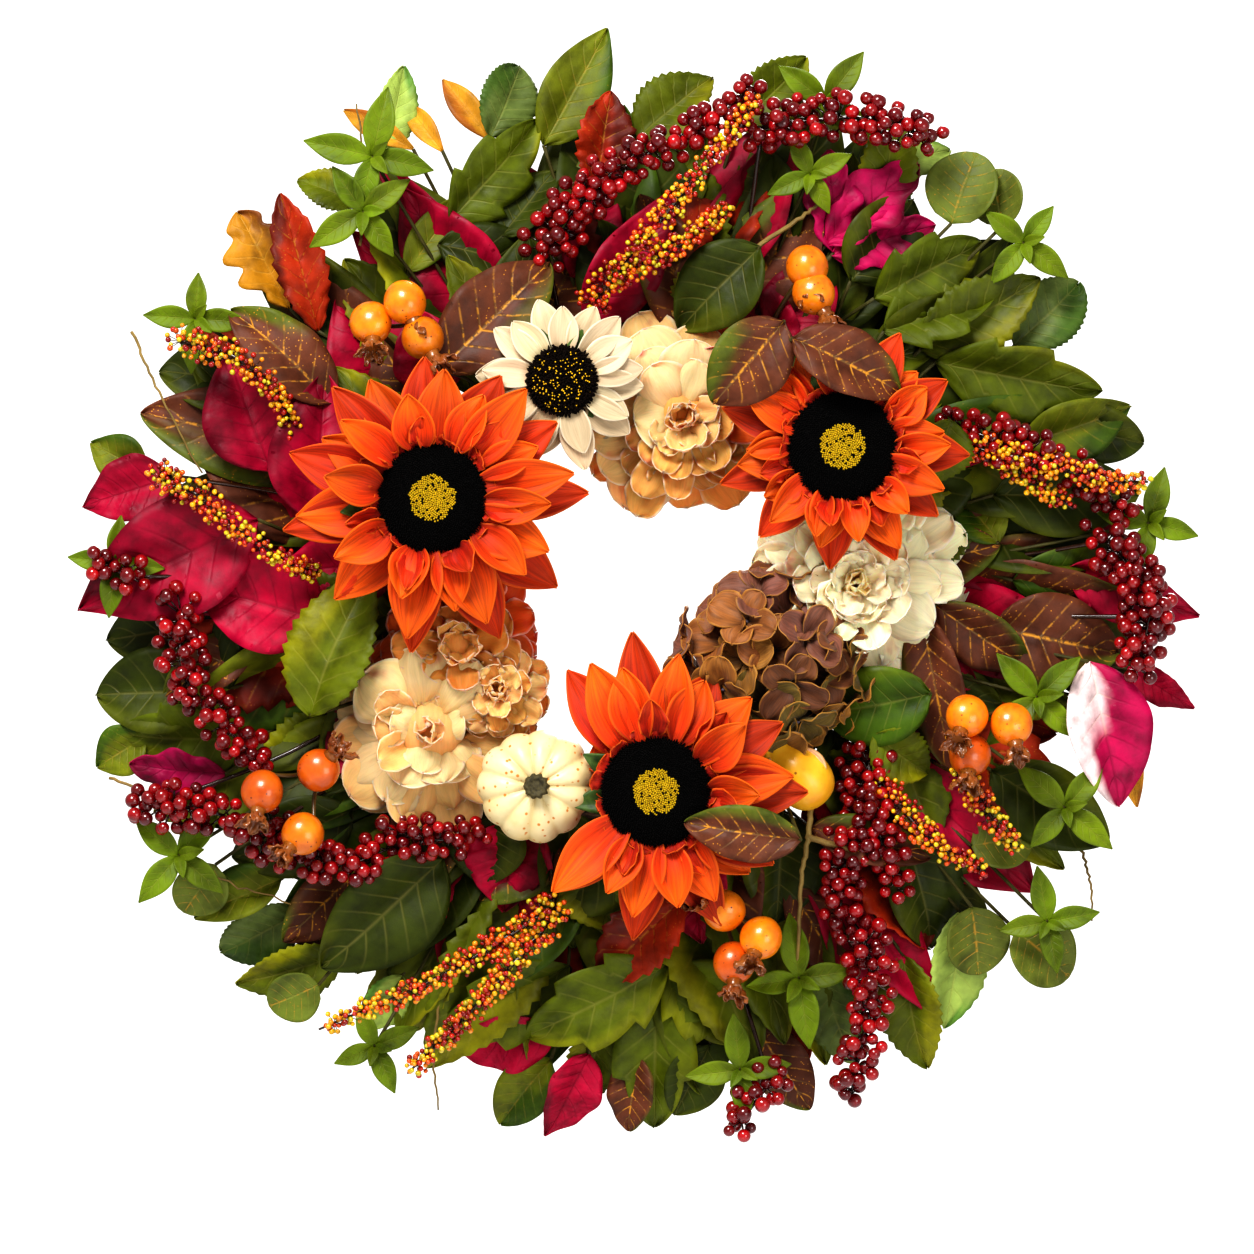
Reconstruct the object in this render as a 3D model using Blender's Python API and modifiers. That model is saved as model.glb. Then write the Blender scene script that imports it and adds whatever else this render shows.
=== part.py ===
"""Harvest door wreath: artificial flowers, fruit, berries and leaves wired to a ring of vine.

It hangs as it does on a door: +Z up, with the flowers facing -Y. The origin is the point inside
the top of the hanging loop where a door hook bears. Everything is laid out as on a bench, with
the wreath on its back: x and y lie across it, and depth is measured forward from its back.
A place on the wreath is a clock angle in degrees from twelve, and a distance out from the ring.
"""

import math

import bmesh
import bpy
from mathutils import Vector

# Ring of vine, with its ties and its hanging loop
RING_RADIUS = 0.115
VINE_RADIUS = 0.008
WIRE_RADIUS = 0.0012
GAP = 0.0003
LOOP_ROOM = 0.0005
LOOP_LENGTH = 0.040
LOOP_WIDTH = 0.024

# Leaves
WREATH_REACH = 0.305
LEAF_ROOM = 0.001
LEAF_THICKNESS = 0.002
LEAF_SPREAD = math.radians(29)
LEAF_STEM_WIDTH = 0.006
LOBES = 5
LOBE_DIP = 0.055

# Stems
STEM_RADIUS = 0.003
PICK_RADIUS = 0.002
STALK_RADIUS = 0.0015
STEM_RISE = 0.008

# Orange sunflowers
SUNFLOWER_REACH = 0.082
SUNFLOWER_REACH_SMALL = 0.066
SUNFLOWER_PETALS = 18
SUNFLOWER_DISC = 0.029
SUNFLOWER_DISC_HEIGHT = 0.012
PETAL_THICKNESS = 0.002
CALYX_RADIUS = 0.016

# Cream sunflower
CREAM_REACH = 0.044
CREAM_PETALS = 16
CREAM_DISC = 0.018
CREAM_DISC_HEIGHT = 0.008
CREAM_CALYX_RADIUS = 0.009

# Peonies, hydrangea, pumpkin and gourd
PEONY_TOP_RADIUS = 0.042
PEONY_RIGHT_RADIUS = 0.038
PEONY_LEFT_RADIUS = 0.036
PEONY_LEFT_OUT = 0.021
GOLD_PEONY_RADIUS = 0.020
HYDRANGEA_RADIUS = 0.028
BLOOM_HEIGHT = 0.034
GOLD_PEONY_HEIGHT = 0.024
HYDRANGEA_HEIGHT = 0.028
PEONY_CUP_RADIUS = 0.012
PUMPKIN_RADIUS = 0.027
PUMPKIN_HEIGHT = 0.034
STALK_LENGTH = 0.009
STALK_WIDTH = 0.005
GOURD_RADIUS = 0.012
GOURD_HEIGHT = 0.030
NEIGHBOUR_GAP = 0.002

# Rose hips and sprays
HIP_RADIUS = 0.0115
HIP_CROWN = 0.004
BERRY_SPRAY_RADIUS = 0.009
SEED_SPRAY_RADIUS = 0.007
LAYER_GAP = 0.001
SPRAY_RISE = 0.024

# Depths, worked out from the back to the front
bundle_offset = VINE_RADIUS + GAP / 2
bundle_corner = bundle_offset * math.sqrt(2) + VINE_RADIUS
loop_pivot_radius = bundle_corner + LOOP_ROOM + WIRE_RADIUS
hanger_tie_radius = loop_pivot_radius + 2 * WIRE_RADIUS + GAP
binding_tie_radius = bundle_corner + GAP + WIRE_RADIUS
ring_depth = hanger_tie_radius + WIRE_RADIUS
crest_depth = ring_depth + bundle_offset + VINE_RADIUS + GAP
pick_depth = 2 * ring_depth + GAP + PICK_RADIUS
bloom_depth = pick_depth + PICK_RADIUS + LAYER_GAP
cup_height = 0.003
petal_depth = bloom_depth + cup_height + GAP
berry_depth = bloom_depth + BERRY_SPRAY_RADIUS
berry_top = berry_depth + BERRY_SPRAY_RADIUS
seed_depth = berry_top + LAYER_GAP + SEED_SPRAY_RADIUS
hip_depth = berry_top + LAYER_GAP + HIP_RADIUS
fruit_depth = bloom_depth + STEM_RISE
cream_depth = max(
    petal_depth + BLOOM_HEIGHT,
    fruit_depth + GOURD_HEIGHT,
    seed_depth + SEED_SPRAY_RADIUS,
) + LAYER_GAP
sunflower_depth = max(
    cream_depth + PETAL_THICKNESS + GAP + CREAM_DISC_HEIGHT,
    hip_depth + HIP_RADIUS,
    fruit_depth + PUMPKIN_HEIGHT + GAP + STALK_LENGTH,
) + LAYER_GAP

for old in list(bpy.data.objects):
    bpy.data.objects.remove(old)

wreath = bpy.data.collections.new("harvest_door_wreath")
bpy.context.scene.collection.children.link(wreath)
joined = bpy.data.collections.new("joined_shapes")
joined.hide_render = True
bpy.context.scene.collection.children.link(joined)

# The bench stands up, so that depth points to -Y and the hook's place in the loop is the origin.
loop_pivot_depth = ring_depth - loop_pivot_radius * math.sqrt(0.5)
loop_pivot_height = RING_RADIUS + loop_pivot_radius * math.sqrt(0.5)
bench = bpy.data.objects.new("bench", None)
bench.rotation_euler = (math.pi / 2, 0, 0)
bench.location = (0, loop_pivot_depth, -(loop_pivot_height + LOOP_LENGTH - WIRE_RADIUS))
wreath.objects.link(bench)


def place(angle, out, depth=0.0):
    """A point at a clock angle in degrees and a distance out from the ring."""
    turn = math.radians(angle)
    reach = RING_RADIUS + out
    return Vector((reach * math.sin(turn), reach * math.cos(turn), depth))


def beside(centre, angle, distance):
    """A point at a distance from another, in the direction of a clock angle."""
    turn = math.radians(angle)
    return centre + distance * Vector((math.sin(turn), math.cos(turn), 0))


def crest_under(spot):
    """The nearest place on the front of the ring's two front hoops, where a stem can be fixed."""
    flat = Vector((spot[0], spot[1], 0))
    offset = bundle_offset if flat.length > RING_RADIUS else -bundle_offset
    landing = flat.normalized() * (RING_RADIUS + offset)
    return Vector((landing[0], landing[1], crest_depth))


def finish(name, colour, roughness, metallic=0.0):
    material = bpy.data.materials.new(name)
    material.use_nodes = True
    shader = material.node_tree.nodes["Principled BSDF"]
    shader.inputs["Base Color"].default_value = (*colour, 1)
    shader.inputs["Roughness"].default_value = roughness
    shader.inputs["Metallic"].default_value = metallic
    material.diffuse_color = (*colour, 1)
    return material


def add(name, data, look, at=(0, 0, 0), turn=(0, 0, 0)):
    colour, roughness, metallic = look
    data.materials.append(finish(name, colour, roughness, metallic))
    piece = bpy.data.objects.new(name, data)
    wreath.objects.link(piece)
    piece.parent = bench
    piece.location = at
    piece.rotation_euler = turn
    return piece


def tube_curve(name, points, radii, sides=8, closed=False):
    """A round bar along points, whose radius changes from point to point."""
    curve = bpy.data.curves.new(name, "CURVE")
    curve.dimensions = "3D"
    curve.bevel_depth = 1.0
    curve.bevel_resolution = (sides - 4) // 2
    curve.use_fill_caps = not closed
    spline = curve.splines.new("POLY")
    spline.points.add(len(points) - 1)
    for point, where, radius in zip(spline.points, points, radii):
        point.co = (*where, 1)
        point.radius = radius
    spline.use_cyclic_u = closed
    return curve


def flat_shape(name, outline, thickness):
    """A flat piece cut to an outline."""
    curve = bpy.data.curves.new(name, "CURVE")
    curve.dimensions = "2D"
    curve.fill_mode = "BOTH"
    curve.extrude = thickness / 2
    spline = curve.splines.new("POLY")
    spline.points.add(len(outline) - 1)
    for point, (x, y) in zip(spline.points, outline):
        point.co = (x, y, 0, 1)
    spline.use_cyclic_u = True
    return curve


def turned(name, profile, look, at, steps=16):
    """A shape turned round its own depth axis, from a profile that runs from its front to its back."""
    mesh = bpy.data.meshes.new(name)
    edges = [(i, i + 1) for i in range(len(profile) - 1)]
    mesh.from_pydata([(radius, 0, depth) for radius, depth in profile], edges, [])
    piece = add(name, mesh, look, at)
    screw = piece.modifiers.new("Screw", "SCREW")
    screw.steps = screw.render_steps = steps
    screw.use_merge_vertices = True
    screw.merge_threshold = 0.00001
    return piece


def torus(name, look, major, minor, at, turn, around=32, sides=8):
    """A closed ring of wire or vine."""
    bm = bmesh.new()
    rows = []
    for i in range(around):
        a = 2 * math.pi * i / around
        centre = Vector((math.cos(a), math.sin(a), 0))
        row = []
        for k in range(sides):
            b = 2 * math.pi * (k + 0.5) / sides
            # Half a side's turn puts a flat of each section on its inner and outer side.
            across = centre * (major + minor * math.cos(b))
            row.append(bm.verts.new(across + Vector((0, 0, minor * math.sin(b)))))
        rows.append(row)
    for i in range(around):
        one, other = rows[i], rows[(i + 1) % around]
        for k in range(sides):
            bm.faces.new((one[k], other[k], other[(k + 1) % sides], one[(k + 1) % sides]))
    mesh = bpy.data.meshes.new(name)
    bm.to_mesh(mesh)
    bm.free()
    return add(name, mesh, look, at, turn)


def smooth(points, steps=2):
    """Points along a smooth curve through the given ones."""
    ends = [2 * points[0] - points[1], *points, 2 * points[-1] - points[-2]]
    curve = []
    for a, b, c, d in zip(ends, ends[1:], ends[2:], ends[3:]):
        for i in range(steps):
            t = i / steps
            curve.append(
                0.5 * (2 * b + (c - a) * t + (2 * a - 5 * b + 4 * c - d) * t**2
                       + (3 * b - a - 3 * c + d) * t**3)
            )
    return [*curve, points[-1]]


def solid_copy(name, curve):
    """A welded mesh made from a curve, kept out of the model, for joining to another."""
    guide = bpy.data.objects.new(name, curve)
    joined.objects.link(guide)
    bpy.context.view_layer.update()
    graph = bpy.context.evaluated_depsgraph_get()
    mesh = bpy.data.meshes.new_from_object(guide.evaluated_get(graph))
    bpy.data.objects.remove(guide)
    bm = bmesh.new()
    bm.from_mesh(mesh)
    bmesh.ops.remove_doubles(bm, verts=bm.verts, dist=0.00001)
    bmesh.ops.recalc_face_normals(bm, faces=bm.faces)
    bm.to_mesh(mesh)
    bm.free()
    return mesh


BARK = ((0.23, 0.14, 0.08), 0.85, 0.0)
WIRE = ((0.16, 0.15, 0.14), 0.45, 0.9)
GREEN_STEM = ((0.16, 0.26, 0.08), 0.6, 0.0)
ORANGE = ((0.85, 0.16, 0.02), 0.6, 0.0)
DEEP_ORANGE = ((0.70, 0.09, 0.01), 0.6, 0.0)
BLACK_PILE = ((0.01, 0.008, 0.008), 0.9, 0.0)
CREAM = ((0.90, 0.83, 0.68), 0.6, 0.0)
PEACH = ((0.87, 0.60, 0.32), 0.6, 0.0)
IVORY = ((0.88, 0.77, 0.56), 0.6, 0.0)
GOLD = ((0.60, 0.25, 0.05), 0.6, 0.0)
BROWN_BLOOM = ((0.28, 0.09, 0.03), 0.6, 0.0)
PUMPKIN_SKIN = ((0.89, 0.75, 0.43), 0.45, 0.0)
PUMPKIN_STALK = ((0.24, 0.20, 0.09), 0.7, 0.0)
GOURD_SKIN = ((0.85, 0.50, 0.06), 0.4, 0.0)
HIP_SKIN = ((0.85, 0.35, 0.03), 0.35, 0.0)
BERRY_RED = ((0.31, 0.01, 0.02), 0.25, 0.0)
SEED_YELLOW = ((0.80, 0.42, 0.03), 0.4, 0.0)
LEAF_GREEN = ((0.09, 0.20, 0.03), 0.5, 0.0)
LEAF_WINE = ((0.30, 0.01, 0.06), 0.5, 0.0)
LEAF_BROWN = ((0.20, 0.08, 0.04), 0.6, 0.0)


# Ring: four hoops of vine lie two by two, held together by wire ties.
for side, across in (("inner", -1), ("outer", 1)):
    for face, forward in (("back", -1), ("front", 1)):
        torus(
            f"vine_hoop_{face}_{side}",
            BARK,
            RING_RADIUS + across * bundle_offset,
            VINE_RADIUS,
            (0, 0, ring_depth + forward * bundle_offset),
            (0, 0, 0),
            around=40,
            sides=6,
        )


def tie(name, angle, radius):
    """A wire ring round all four hoops."""
    turn = (math.pi / 2, 0, math.pi / 2 - math.radians(angle))
    return torus(name, WIRE, radius, WIRE_RADIUS, place(angle, 0, ring_depth), turn, 20, 6)


tie("binding_tie_right", 147, binding_tie_radius)
tie("binding_tie_left", 229, binding_tie_radius)
tie("hanger_tie", 0, hanger_tie_radius)

# Hanging loop: an oval of wire that passes under the hanger tie and swings back round its bend.
half_width = LOOP_WIDTH / 2
oval = []
for i in range(24):
    turn = 2 * math.pi * i / 24
    oval.append((half_width * math.sin(turn), LOOP_LENGTH / 2 * (1 - math.cos(turn)), 0))
loop = add(
    "hanger_loop",
    tube_curve("hanger_loop", oval, [WIRE_RADIUS] * len(oval), closed=True),
    WIRE,
    (0, loop_pivot_height, loop_pivot_depth),
)


# Leaf picks: each is a fan of leaves on one stem, in a front layer laid across the front hoops and
# a back layer that starts at the outer side of the back hoop.
def leaf_fan(landing, root):
    half = LEAF_STEM_WIDTH / 2
    outline = [(-half, landing), (half, landing), (half, root)]
    for i in (1, 2, 3):
        turn = LEAF_SPREAD * i / 3
        outline.append((root * math.sin(turn), root * math.cos(turn)))
    lobe = 2 * LEAF_SPREAD / LOBES
    for i in range(LOBES):
        middle = LEAF_SPREAD - lobe * (i + 0.5)
        for across, back in ((0.28, 0.35), (0, 0), (-0.28, 0.35)):
            turn = middle + lobe * across
            reach = WREATH_REACH - LOBE_DIP * back
            outline.append((reach * math.sin(turn), reach * math.cos(turn)))
        if i < LOBES - 1:
            turn = middle - lobe / 2
            reach = WREATH_REACH - LOBE_DIP
            outline.append((reach * math.sin(turn), reach * math.cos(turn)))
    for i in (3, 2, 1):
        turn = -LEAF_SPREAD * i / 3
        outline.append((root * math.sin(turn), root * math.cos(turn)))
    outline.append((-half, root))
    return outline


front_leaf_depth = crest_depth + LEAF_THICKNESS / 2
back_leaf_depth = ring_depth - bundle_offset
leaf_root = RING_RADIUS + hanger_tie_radius + WIRE_RADIUS + LEAF_ROOM
side_of_hoop = RING_RADIUS + bundle_offset + VINE_RADIUS + GAP
for layer, landing, depth, picks in (
    (
        "front",
        RING_RADIUS - bundle_offset,
        front_leaf_depth,
        ((44, LEAF_GREEN), (116, LEAF_BROWN), (188, LEAF_GREEN), (260, LEAF_WINE), (332, LEAF_GREEN)),
    ),
    (
        "back",
        side_of_hoop,
        back_leaf_depth,
        ((8, LEAF_GREEN), (80, LEAF_WINE), (152, LEAF_GREEN), (224, LEAF_GREEN), (296, LEAF_BROWN)),
    ),
):
    for number, (angle, look) in enumerate(picks, 1):
        name = f"leaf_pick_{layer}_{number}"
        shape = flat_shape(name, leaf_fan(landing, leaf_root), LEAF_THICKNESS)
        add(name, shape, look, (0, 0, depth), (0, 0, -math.radians(angle)))


# Flower stems: each rises from the front of a hoop, leans over to its flower and flares under it.
def rising(spot, foot=None):
    """The foot of a stem, from the hoop's front to under the flower."""
    foot = foot or crest_under(spot)
    above = Vector((foot[0], foot[1], pick_depth))
    under = Vector((spot[0], spot[1], bloom_depth))
    return [foot, above, under]


def flower_stem(name, spot, top, flare):
    flare_height = min(flare, (top - bloom_depth) / 2)
    points = rising(spot)
    points += [Vector((spot[0], spot[1], depth)) for depth in (top - flare_height, top)]
    radii = [STEM_RADIUS] * 4 + [flare]
    add(name, tube_curve(name, points, radii), GREEN_STEM)


def petal_outline(count, reach, base, shift=0.0):
    """Pointed petals round a centre."""
    outline = []
    step = 2 * math.pi / count
    for i in range(count):
        middle = (i + shift) * step
        for across, radius in ((-0.34, 0.7), (0, 1.0), (0.34, 0.7)):
            turn = middle + across * step
            outline.append((reach * radius * math.sin(turn), reach * radius * math.cos(turn)))
        turn = middle + step / 2
        outline.append((base * math.sin(turn), base * math.cos(turn)))
    return outline[::-1]


def petal_layer(name, spot, depth, count, reach, look, shift=0.0):
    shape = flat_shape(name, petal_outline(count, reach, reach * 0.5, shift), PETAL_THICKNESS)
    add(name, shape, look, (spot[0], spot[1], depth + PETAL_THICKNESS / 2))
    return depth + PETAL_THICKNESS + GAP


def disc(name, spot, depth, radius, height, look):
    """A low cushion of pile, hollowed a little at its middle."""
    profile = [
        (0, height * 0.75),
        (radius * 0.45, height),
        (radius * 0.85, height * 0.8),
        (radius, height * 0.4),
        (radius * 0.92, 0),
        (0, 0),
    ]
    turned(name, profile, look, (spot[0], spot[1], depth))


for name, angle, out, reach in (
    ("left", 294, 0.006, SUNFLOWER_REACH),
    ("right", 55, 0.019, SUNFLOWER_REACH_SMALL),
    ("bottom", 175, -0.006, SUNFLOWER_REACH),
):
    spot = place(angle, out)
    flower_stem(f"sunflower_{name}_stem", spot, sunflower_depth - GAP, CALYX_RADIUS)
    depth = petal_layer(
        f"sunflower_{name}_outer_petals", spot, sunflower_depth, SUNFLOWER_PETALS, reach, DEEP_ORANGE
    )
    depth = petal_layer(
        f"sunflower_{name}_inner_petals", spot, depth, SUNFLOWER_PETALS, reach * 0.8, ORANGE, 0.5
    )
    disc(f"sunflower_{name}_disc", spot, depth, SUNFLOWER_DISC, SUNFLOWER_DISC_HEIGHT, BLACK_PILE)

cream_spot = place(340, 0.005)
flower_stem("cream_sunflower_stem", cream_spot, cream_depth - GAP, CREAM_CALYX_RADIUS)
depth = petal_layer(
    "cream_sunflower_petals", cream_spot, cream_depth, CREAM_PETALS, CREAM_REACH, CREAM
)
disc("cream_sunflower_disc", cream_spot, depth, CREAM_DISC, CREAM_DISC_HEIGHT, BLACK_PILE)


# Full flowers: a round mass of petals, seated on the cup of its stem.
def dome(radius, height):
    """Half-round front, full sides and a flat back, from front to back."""
    profile = [(0, height)]
    for i in range(1, 6):
        turn = math.radians(18 * i)
        profile.append((radius * math.sin(turn), height * (0.3 + 0.7 * math.cos(turn))))
    return [*profile, (radius * 0.8, height * 0.06), (radius * 0.5, 0), (0, 0)]


peony_top = place(14, -0.017)
peony_right = place(88, 0.003)
peony_left = place(236, PEONY_LEFT_OUT)
for name, spot, radius, look in (
    ("top", peony_top, PEONY_TOP_RADIUS, PEACH),
    ("right", peony_right, PEONY_RIGHT_RADIUS, IVORY),
    ("left", peony_left, PEONY_LEFT_RADIUS, PEACH),
):
    flower_stem(f"peony_{name}_stem", spot, bloom_depth + cup_height, PEONY_CUP_RADIUS)
    turned(f"peony_{name}_petals", dome(radius, BLOOM_HEIGHT), look, (spot[0], spot[1], petal_depth))


# Smaller pieces made in one with their stems.
def on_stem(name, spot, foot, profile, look, sides=12):
    """A round shape on its own stem: profile gives radius and depth above the shape's back."""
    points = rising(spot, foot)
    radii = [STEM_RADIUS] * 3
    for radius, rise in profile:
        points.append(Vector((spot[0], spot[1], fruit_depth + rise)))
        radii.append(radius)
    add(name, tube_curve(name, points, radii, sides), look)


def from_back(radius, height):
    """A dome's profile as radius and rise, from its back to its front, without a sharp point."""
    outline = dome(radius, height)[:-1][::-1]
    flat_front = [(radius * 0.1, height)]
    return [(STEM_RADIUS, -0.001), *outline[:-1], *flat_front]


def ball(radius, height):
    """A round fruit's profile, from its back to its front."""
    profile = [(STEM_RADIUS, -0.001)]
    for i in range(9):
        turn = math.radians(12 + 19.5 * i)
        profile.append((radius * math.sin(turn), height / 2 * (1 - math.cos(turn))))
    return profile


gold_spot = beside(peony_left, 29, PEONY_LEFT_RADIUS + GOLD_PEONY_RADIUS + NEIGHBOUR_GAP)
hydrangea_spot = beside(peony_right, 225, PEONY_RIGHT_RADIUS + HYDRANGEA_RADIUS + NEIGHBOUR_GAP)
pumpkin_spot = beside(peony_left, 117, PEONY_LEFT_RADIUS + PUMPKIN_RADIUS + NEIGHBOUR_GAP)
gourd_spot = place(139, 0.020)
gold_foot = place(251, -bundle_offset, crest_depth)
hydrangea_foot = place(123, -bundle_offset, crest_depth)
pumpkin_foot = place(206, bundle_offset, crest_depth)
gourd_foot = place(139, bundle_offset, crest_depth)
gold_shape = from_back(GOLD_PEONY_RADIUS, GOLD_PEONY_HEIGHT)
hydrangea_shape = from_back(HYDRANGEA_RADIUS, HYDRANGEA_HEIGHT)
on_stem("gold_peony", gold_spot, gold_foot, gold_shape, GOLD)
on_stem("hydrangea", hydrangea_spot, hydrangea_foot, hydrangea_shape, BROWN_BLOOM)
on_stem("pumpkin", pumpkin_spot, pumpkin_foot, ball(PUMPKIN_RADIUS, PUMPKIN_HEIGHT), PUMPKIN_SKIN, 16)
on_stem("gourd", gourd_spot, gourd_foot, ball(GOURD_RADIUS, GOURD_HEIGHT), GOURD_SKIN, 10)
stalk_profile = [
    (0, STALK_LENGTH),
    (STALK_WIDTH * 0.8, STALK_LENGTH),
    (STALK_WIDTH * 0.7, STALK_LENGTH * 0.4),
    (STALK_WIDTH, 0),
    (0, 0),
]
stalk_seat = fruit_depth + PUMPKIN_HEIGHT + GAP
turned("pumpkin_stalk", stalk_profile, PUMPKIN_STALK, (*pumpkin_spot[:2], stalk_seat), 10)


# Sprays: a wire pick stands on the outer front hoop, runs outward under the flowers and rises to
# carry its berries or seeds, whose mass is a rounded bar.
def pick_foot(angle):
    foot = place(angle, bundle_offset, crest_depth)
    return [foot, Vector((foot[0], foot[1], pick_depth))]


def spray(name, root, route, depth, radius, look):
    path = [place(angle, out, depth) for angle, out in route]
    turn, out = route[0]
    run = max(out - SPRAY_RISE, bundle_offset + 2 * PICK_RADIUS)
    start = place(turn, run, pick_depth)
    body = smooth(path)
    points = [*pick_foot(root), start, *body]
    swell = [min(1.0, 0.45 + 0.25 * i) for i in range(len(body))]
    taper = [min(1.0, 0.35 + 0.22 * (len(body) - 1 - i)) for i in range(len(body))]
    radii = [PICK_RADIUS] * 3 + [radius * min(a, b) for a, b in zip(swell, taper)]
    add(name, tube_curve(name, points, radii), look)


BERRY_SPRAYS = {
    "top": (346, ((344, 0.080), (357, 0.111), (6, 0.138), (14, 0.160), (25, 0.168))),
    "right": (60, ((60, 0.077), (67, 0.098), (73, 0.126), (79, 0.161), (85, 0.154), (91, 0.170))),
    "lower_right": (
        131,
        ((128, 0.046), (136, 0.082), (144, 0.129), (149, 0.145), (155, 0.162), (158, 0.190)),
    ),
    "lower_left": (
        217,
        ((217, 0.053), (222, 0.079), (226, 0.104), (239, 0.125), (243, 0.154), (247, 0.178)),
    ),
    "left": (256, ((258, 0.080), (248, 0.112), (254, 0.124), (259, 0.140), (266, 0.136))),
}
for name, (root, route) in BERRY_SPRAYS.items():
    spray(f"berry_spray_{name}", root, [*route], berry_depth, BERRY_SPRAY_RADIUS, BERRY_RED)

SEED_SPRAYS = {
    "top": (354, ((357, 0.054), (3, 0.087), (9, 0.112), (13, 0.147))),
    "right": (66, ((64, 0.080), (71, 0.100), (77, 0.126), (77, 0.171))),
    "lower_right": (121, ((120, 0.072), (127, 0.100), (126, 0.136))),
    "left": (273, ((273, 0.058), (277, 0.076), (283, 0.107), (282, 0.157))),
    "bottom": (194, ((194, 0.064), (207, 0.111), (212, 0.154), (216, 0.184))),
}
for name, (root, route) in SEED_SPRAYS.items():
    spray(f"seed_spray_{name}", root, [*route], seed_depth, SEED_SPRAY_RADIUS, SEED_YELLOW)


# Rose hips: each cluster is one pick that forks to its hips, each with a small crown at its end.
def hip_profile():
    """Distance along the hip from its stalk, with its radius there."""
    profile = []
    for i in range(7):
        turn = math.radians(25 + 22 * i)
        profile.append((HIP_RADIUS * (1 - math.cos(turn)), HIP_RADIUS * math.sin(turn)))
    return [*profile, (2.3 * HIP_RADIUS, HIP_CROWN)]


def hip_cluster(name, root, fork, hips):
    turn, out = fork
    joint = place(turn, out, hip_depth - HIP_RADIUS)
    start = place(turn, max(out - SPRAY_RISE, bundle_offset + 2 * PICK_RADIUS), pick_depth)
    stem = [*pick_foot(root), start, joint]
    main = solid_copy(name, tube_curve(name, stem, [PICK_RADIUS] * 4))
    cluster = add(name, main, HIP_SKIN)
    for number, (angle, away) in enumerate(hips, 1):
        centre = place(angle, away, hip_depth)
        along = (centre - joint).normalized()
        back = centre - along * HIP_RADIUS
        # The stalk starts a little before the fork's end, so that it joins the stem clearly.
        first = joint.lerp(start, 0.08)
        points = [first] + [back + along * step for step, _ in hip_profile()]
        radii = [STALK_RADIUS] + [radius for _, radius in hip_profile()]
        shape = solid_copy(f"{name}_{number}", tube_curve(name, points, radii))
        fruit = bpy.data.objects.new(f"{name}_{number}", shape)
        fruit.hide_render = True
        fruit.display_type = "WIRE"
        fruit.parent = bench
        joined.objects.link(fruit)
        union = cluster.modifiers.new(f"Hip {number}", "BOOLEAN")
        union.operation = "UNION"
        union.object = fruit
        union.use_self = True


# The lower left hips stand off from the peony beside them.
peony_edge = PEONY_LEFT_OUT + PEONY_LEFT_RADIUS
lower_left_hips = ((241, peony_edge + 0.031), (233, peony_edge + 0.051), (244, peony_edge + 0.059))
HIP_CLUSTERS = {
    "upper_left": (321, (319, 0.050), ((314, 0.088), (323, 0.090), (320, 0.064))),
    "upper_right": (31, (38, 0.050), ((27, 0.083), (32, 0.068))),
    "right": (108, (113, 0.060), ((108, 0.076), (109, 0.105), (117, 0.088))),
    "bottom": (165, (160, 0.055), ((166, 0.066), (160, 0.088), (167, 0.098))),
    "lower_left": (242, (241, peony_edge + 0.010), lower_left_hips),
}
for name, (root, fork, hips) in HIP_CLUSTERS.items():
    hip_cluster(f"rose_hips_{name}", root, fork, hips)

for mesh in bpy.data.meshes:
    mesh.shade_smooth()
    mesh.set_sharp_from_angle(angle=math.radians(40))
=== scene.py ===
import math
from collections import namedtuple
from functools import lru_cache

import bmesh
import bpy
import numpy as np
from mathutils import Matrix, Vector


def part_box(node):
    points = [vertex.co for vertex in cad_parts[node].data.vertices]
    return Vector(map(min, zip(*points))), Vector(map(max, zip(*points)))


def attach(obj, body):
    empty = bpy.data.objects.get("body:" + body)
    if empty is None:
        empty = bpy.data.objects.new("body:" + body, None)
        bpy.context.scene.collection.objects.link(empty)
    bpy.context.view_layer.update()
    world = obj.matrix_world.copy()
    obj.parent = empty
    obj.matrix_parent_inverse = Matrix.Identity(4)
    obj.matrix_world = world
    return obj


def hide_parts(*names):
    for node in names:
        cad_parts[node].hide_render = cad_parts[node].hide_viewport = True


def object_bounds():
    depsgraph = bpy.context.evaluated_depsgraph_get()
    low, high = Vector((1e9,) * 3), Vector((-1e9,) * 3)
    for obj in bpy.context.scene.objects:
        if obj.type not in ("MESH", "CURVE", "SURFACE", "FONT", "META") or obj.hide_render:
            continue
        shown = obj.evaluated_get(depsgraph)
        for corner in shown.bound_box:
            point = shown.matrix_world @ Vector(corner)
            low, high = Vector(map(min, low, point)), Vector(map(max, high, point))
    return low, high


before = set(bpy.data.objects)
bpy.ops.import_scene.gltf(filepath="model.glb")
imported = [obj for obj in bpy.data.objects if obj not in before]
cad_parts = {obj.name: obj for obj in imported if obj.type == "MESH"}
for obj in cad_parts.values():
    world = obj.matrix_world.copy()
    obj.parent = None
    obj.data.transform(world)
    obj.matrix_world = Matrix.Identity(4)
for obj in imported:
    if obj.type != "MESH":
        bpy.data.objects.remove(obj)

cad_low, cad_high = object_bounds()

# ------------------------------
# Grapevine hoops. Four hoops of twisted grapevine, two in front and two behind, make the ring
# that every stem is pushed into. Each is three canes wound round one another and dried hard.
# ------------------------------

ring_low, ring_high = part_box("vine_hoop_front_outer")
ring_middle = np.array((ring_low + ring_high) / 2)
wreath_back = cad_high.y
ring_radius = 0.115

FORWARD = np.array((0.0, -1.0, 0.0))
TWELVE = np.array((0.0, 0.0, 1.0))
THREE = np.array((1.0, 0.0, 0.0))

Part = namedtuple("Part", "points faces marks tints")


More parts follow.
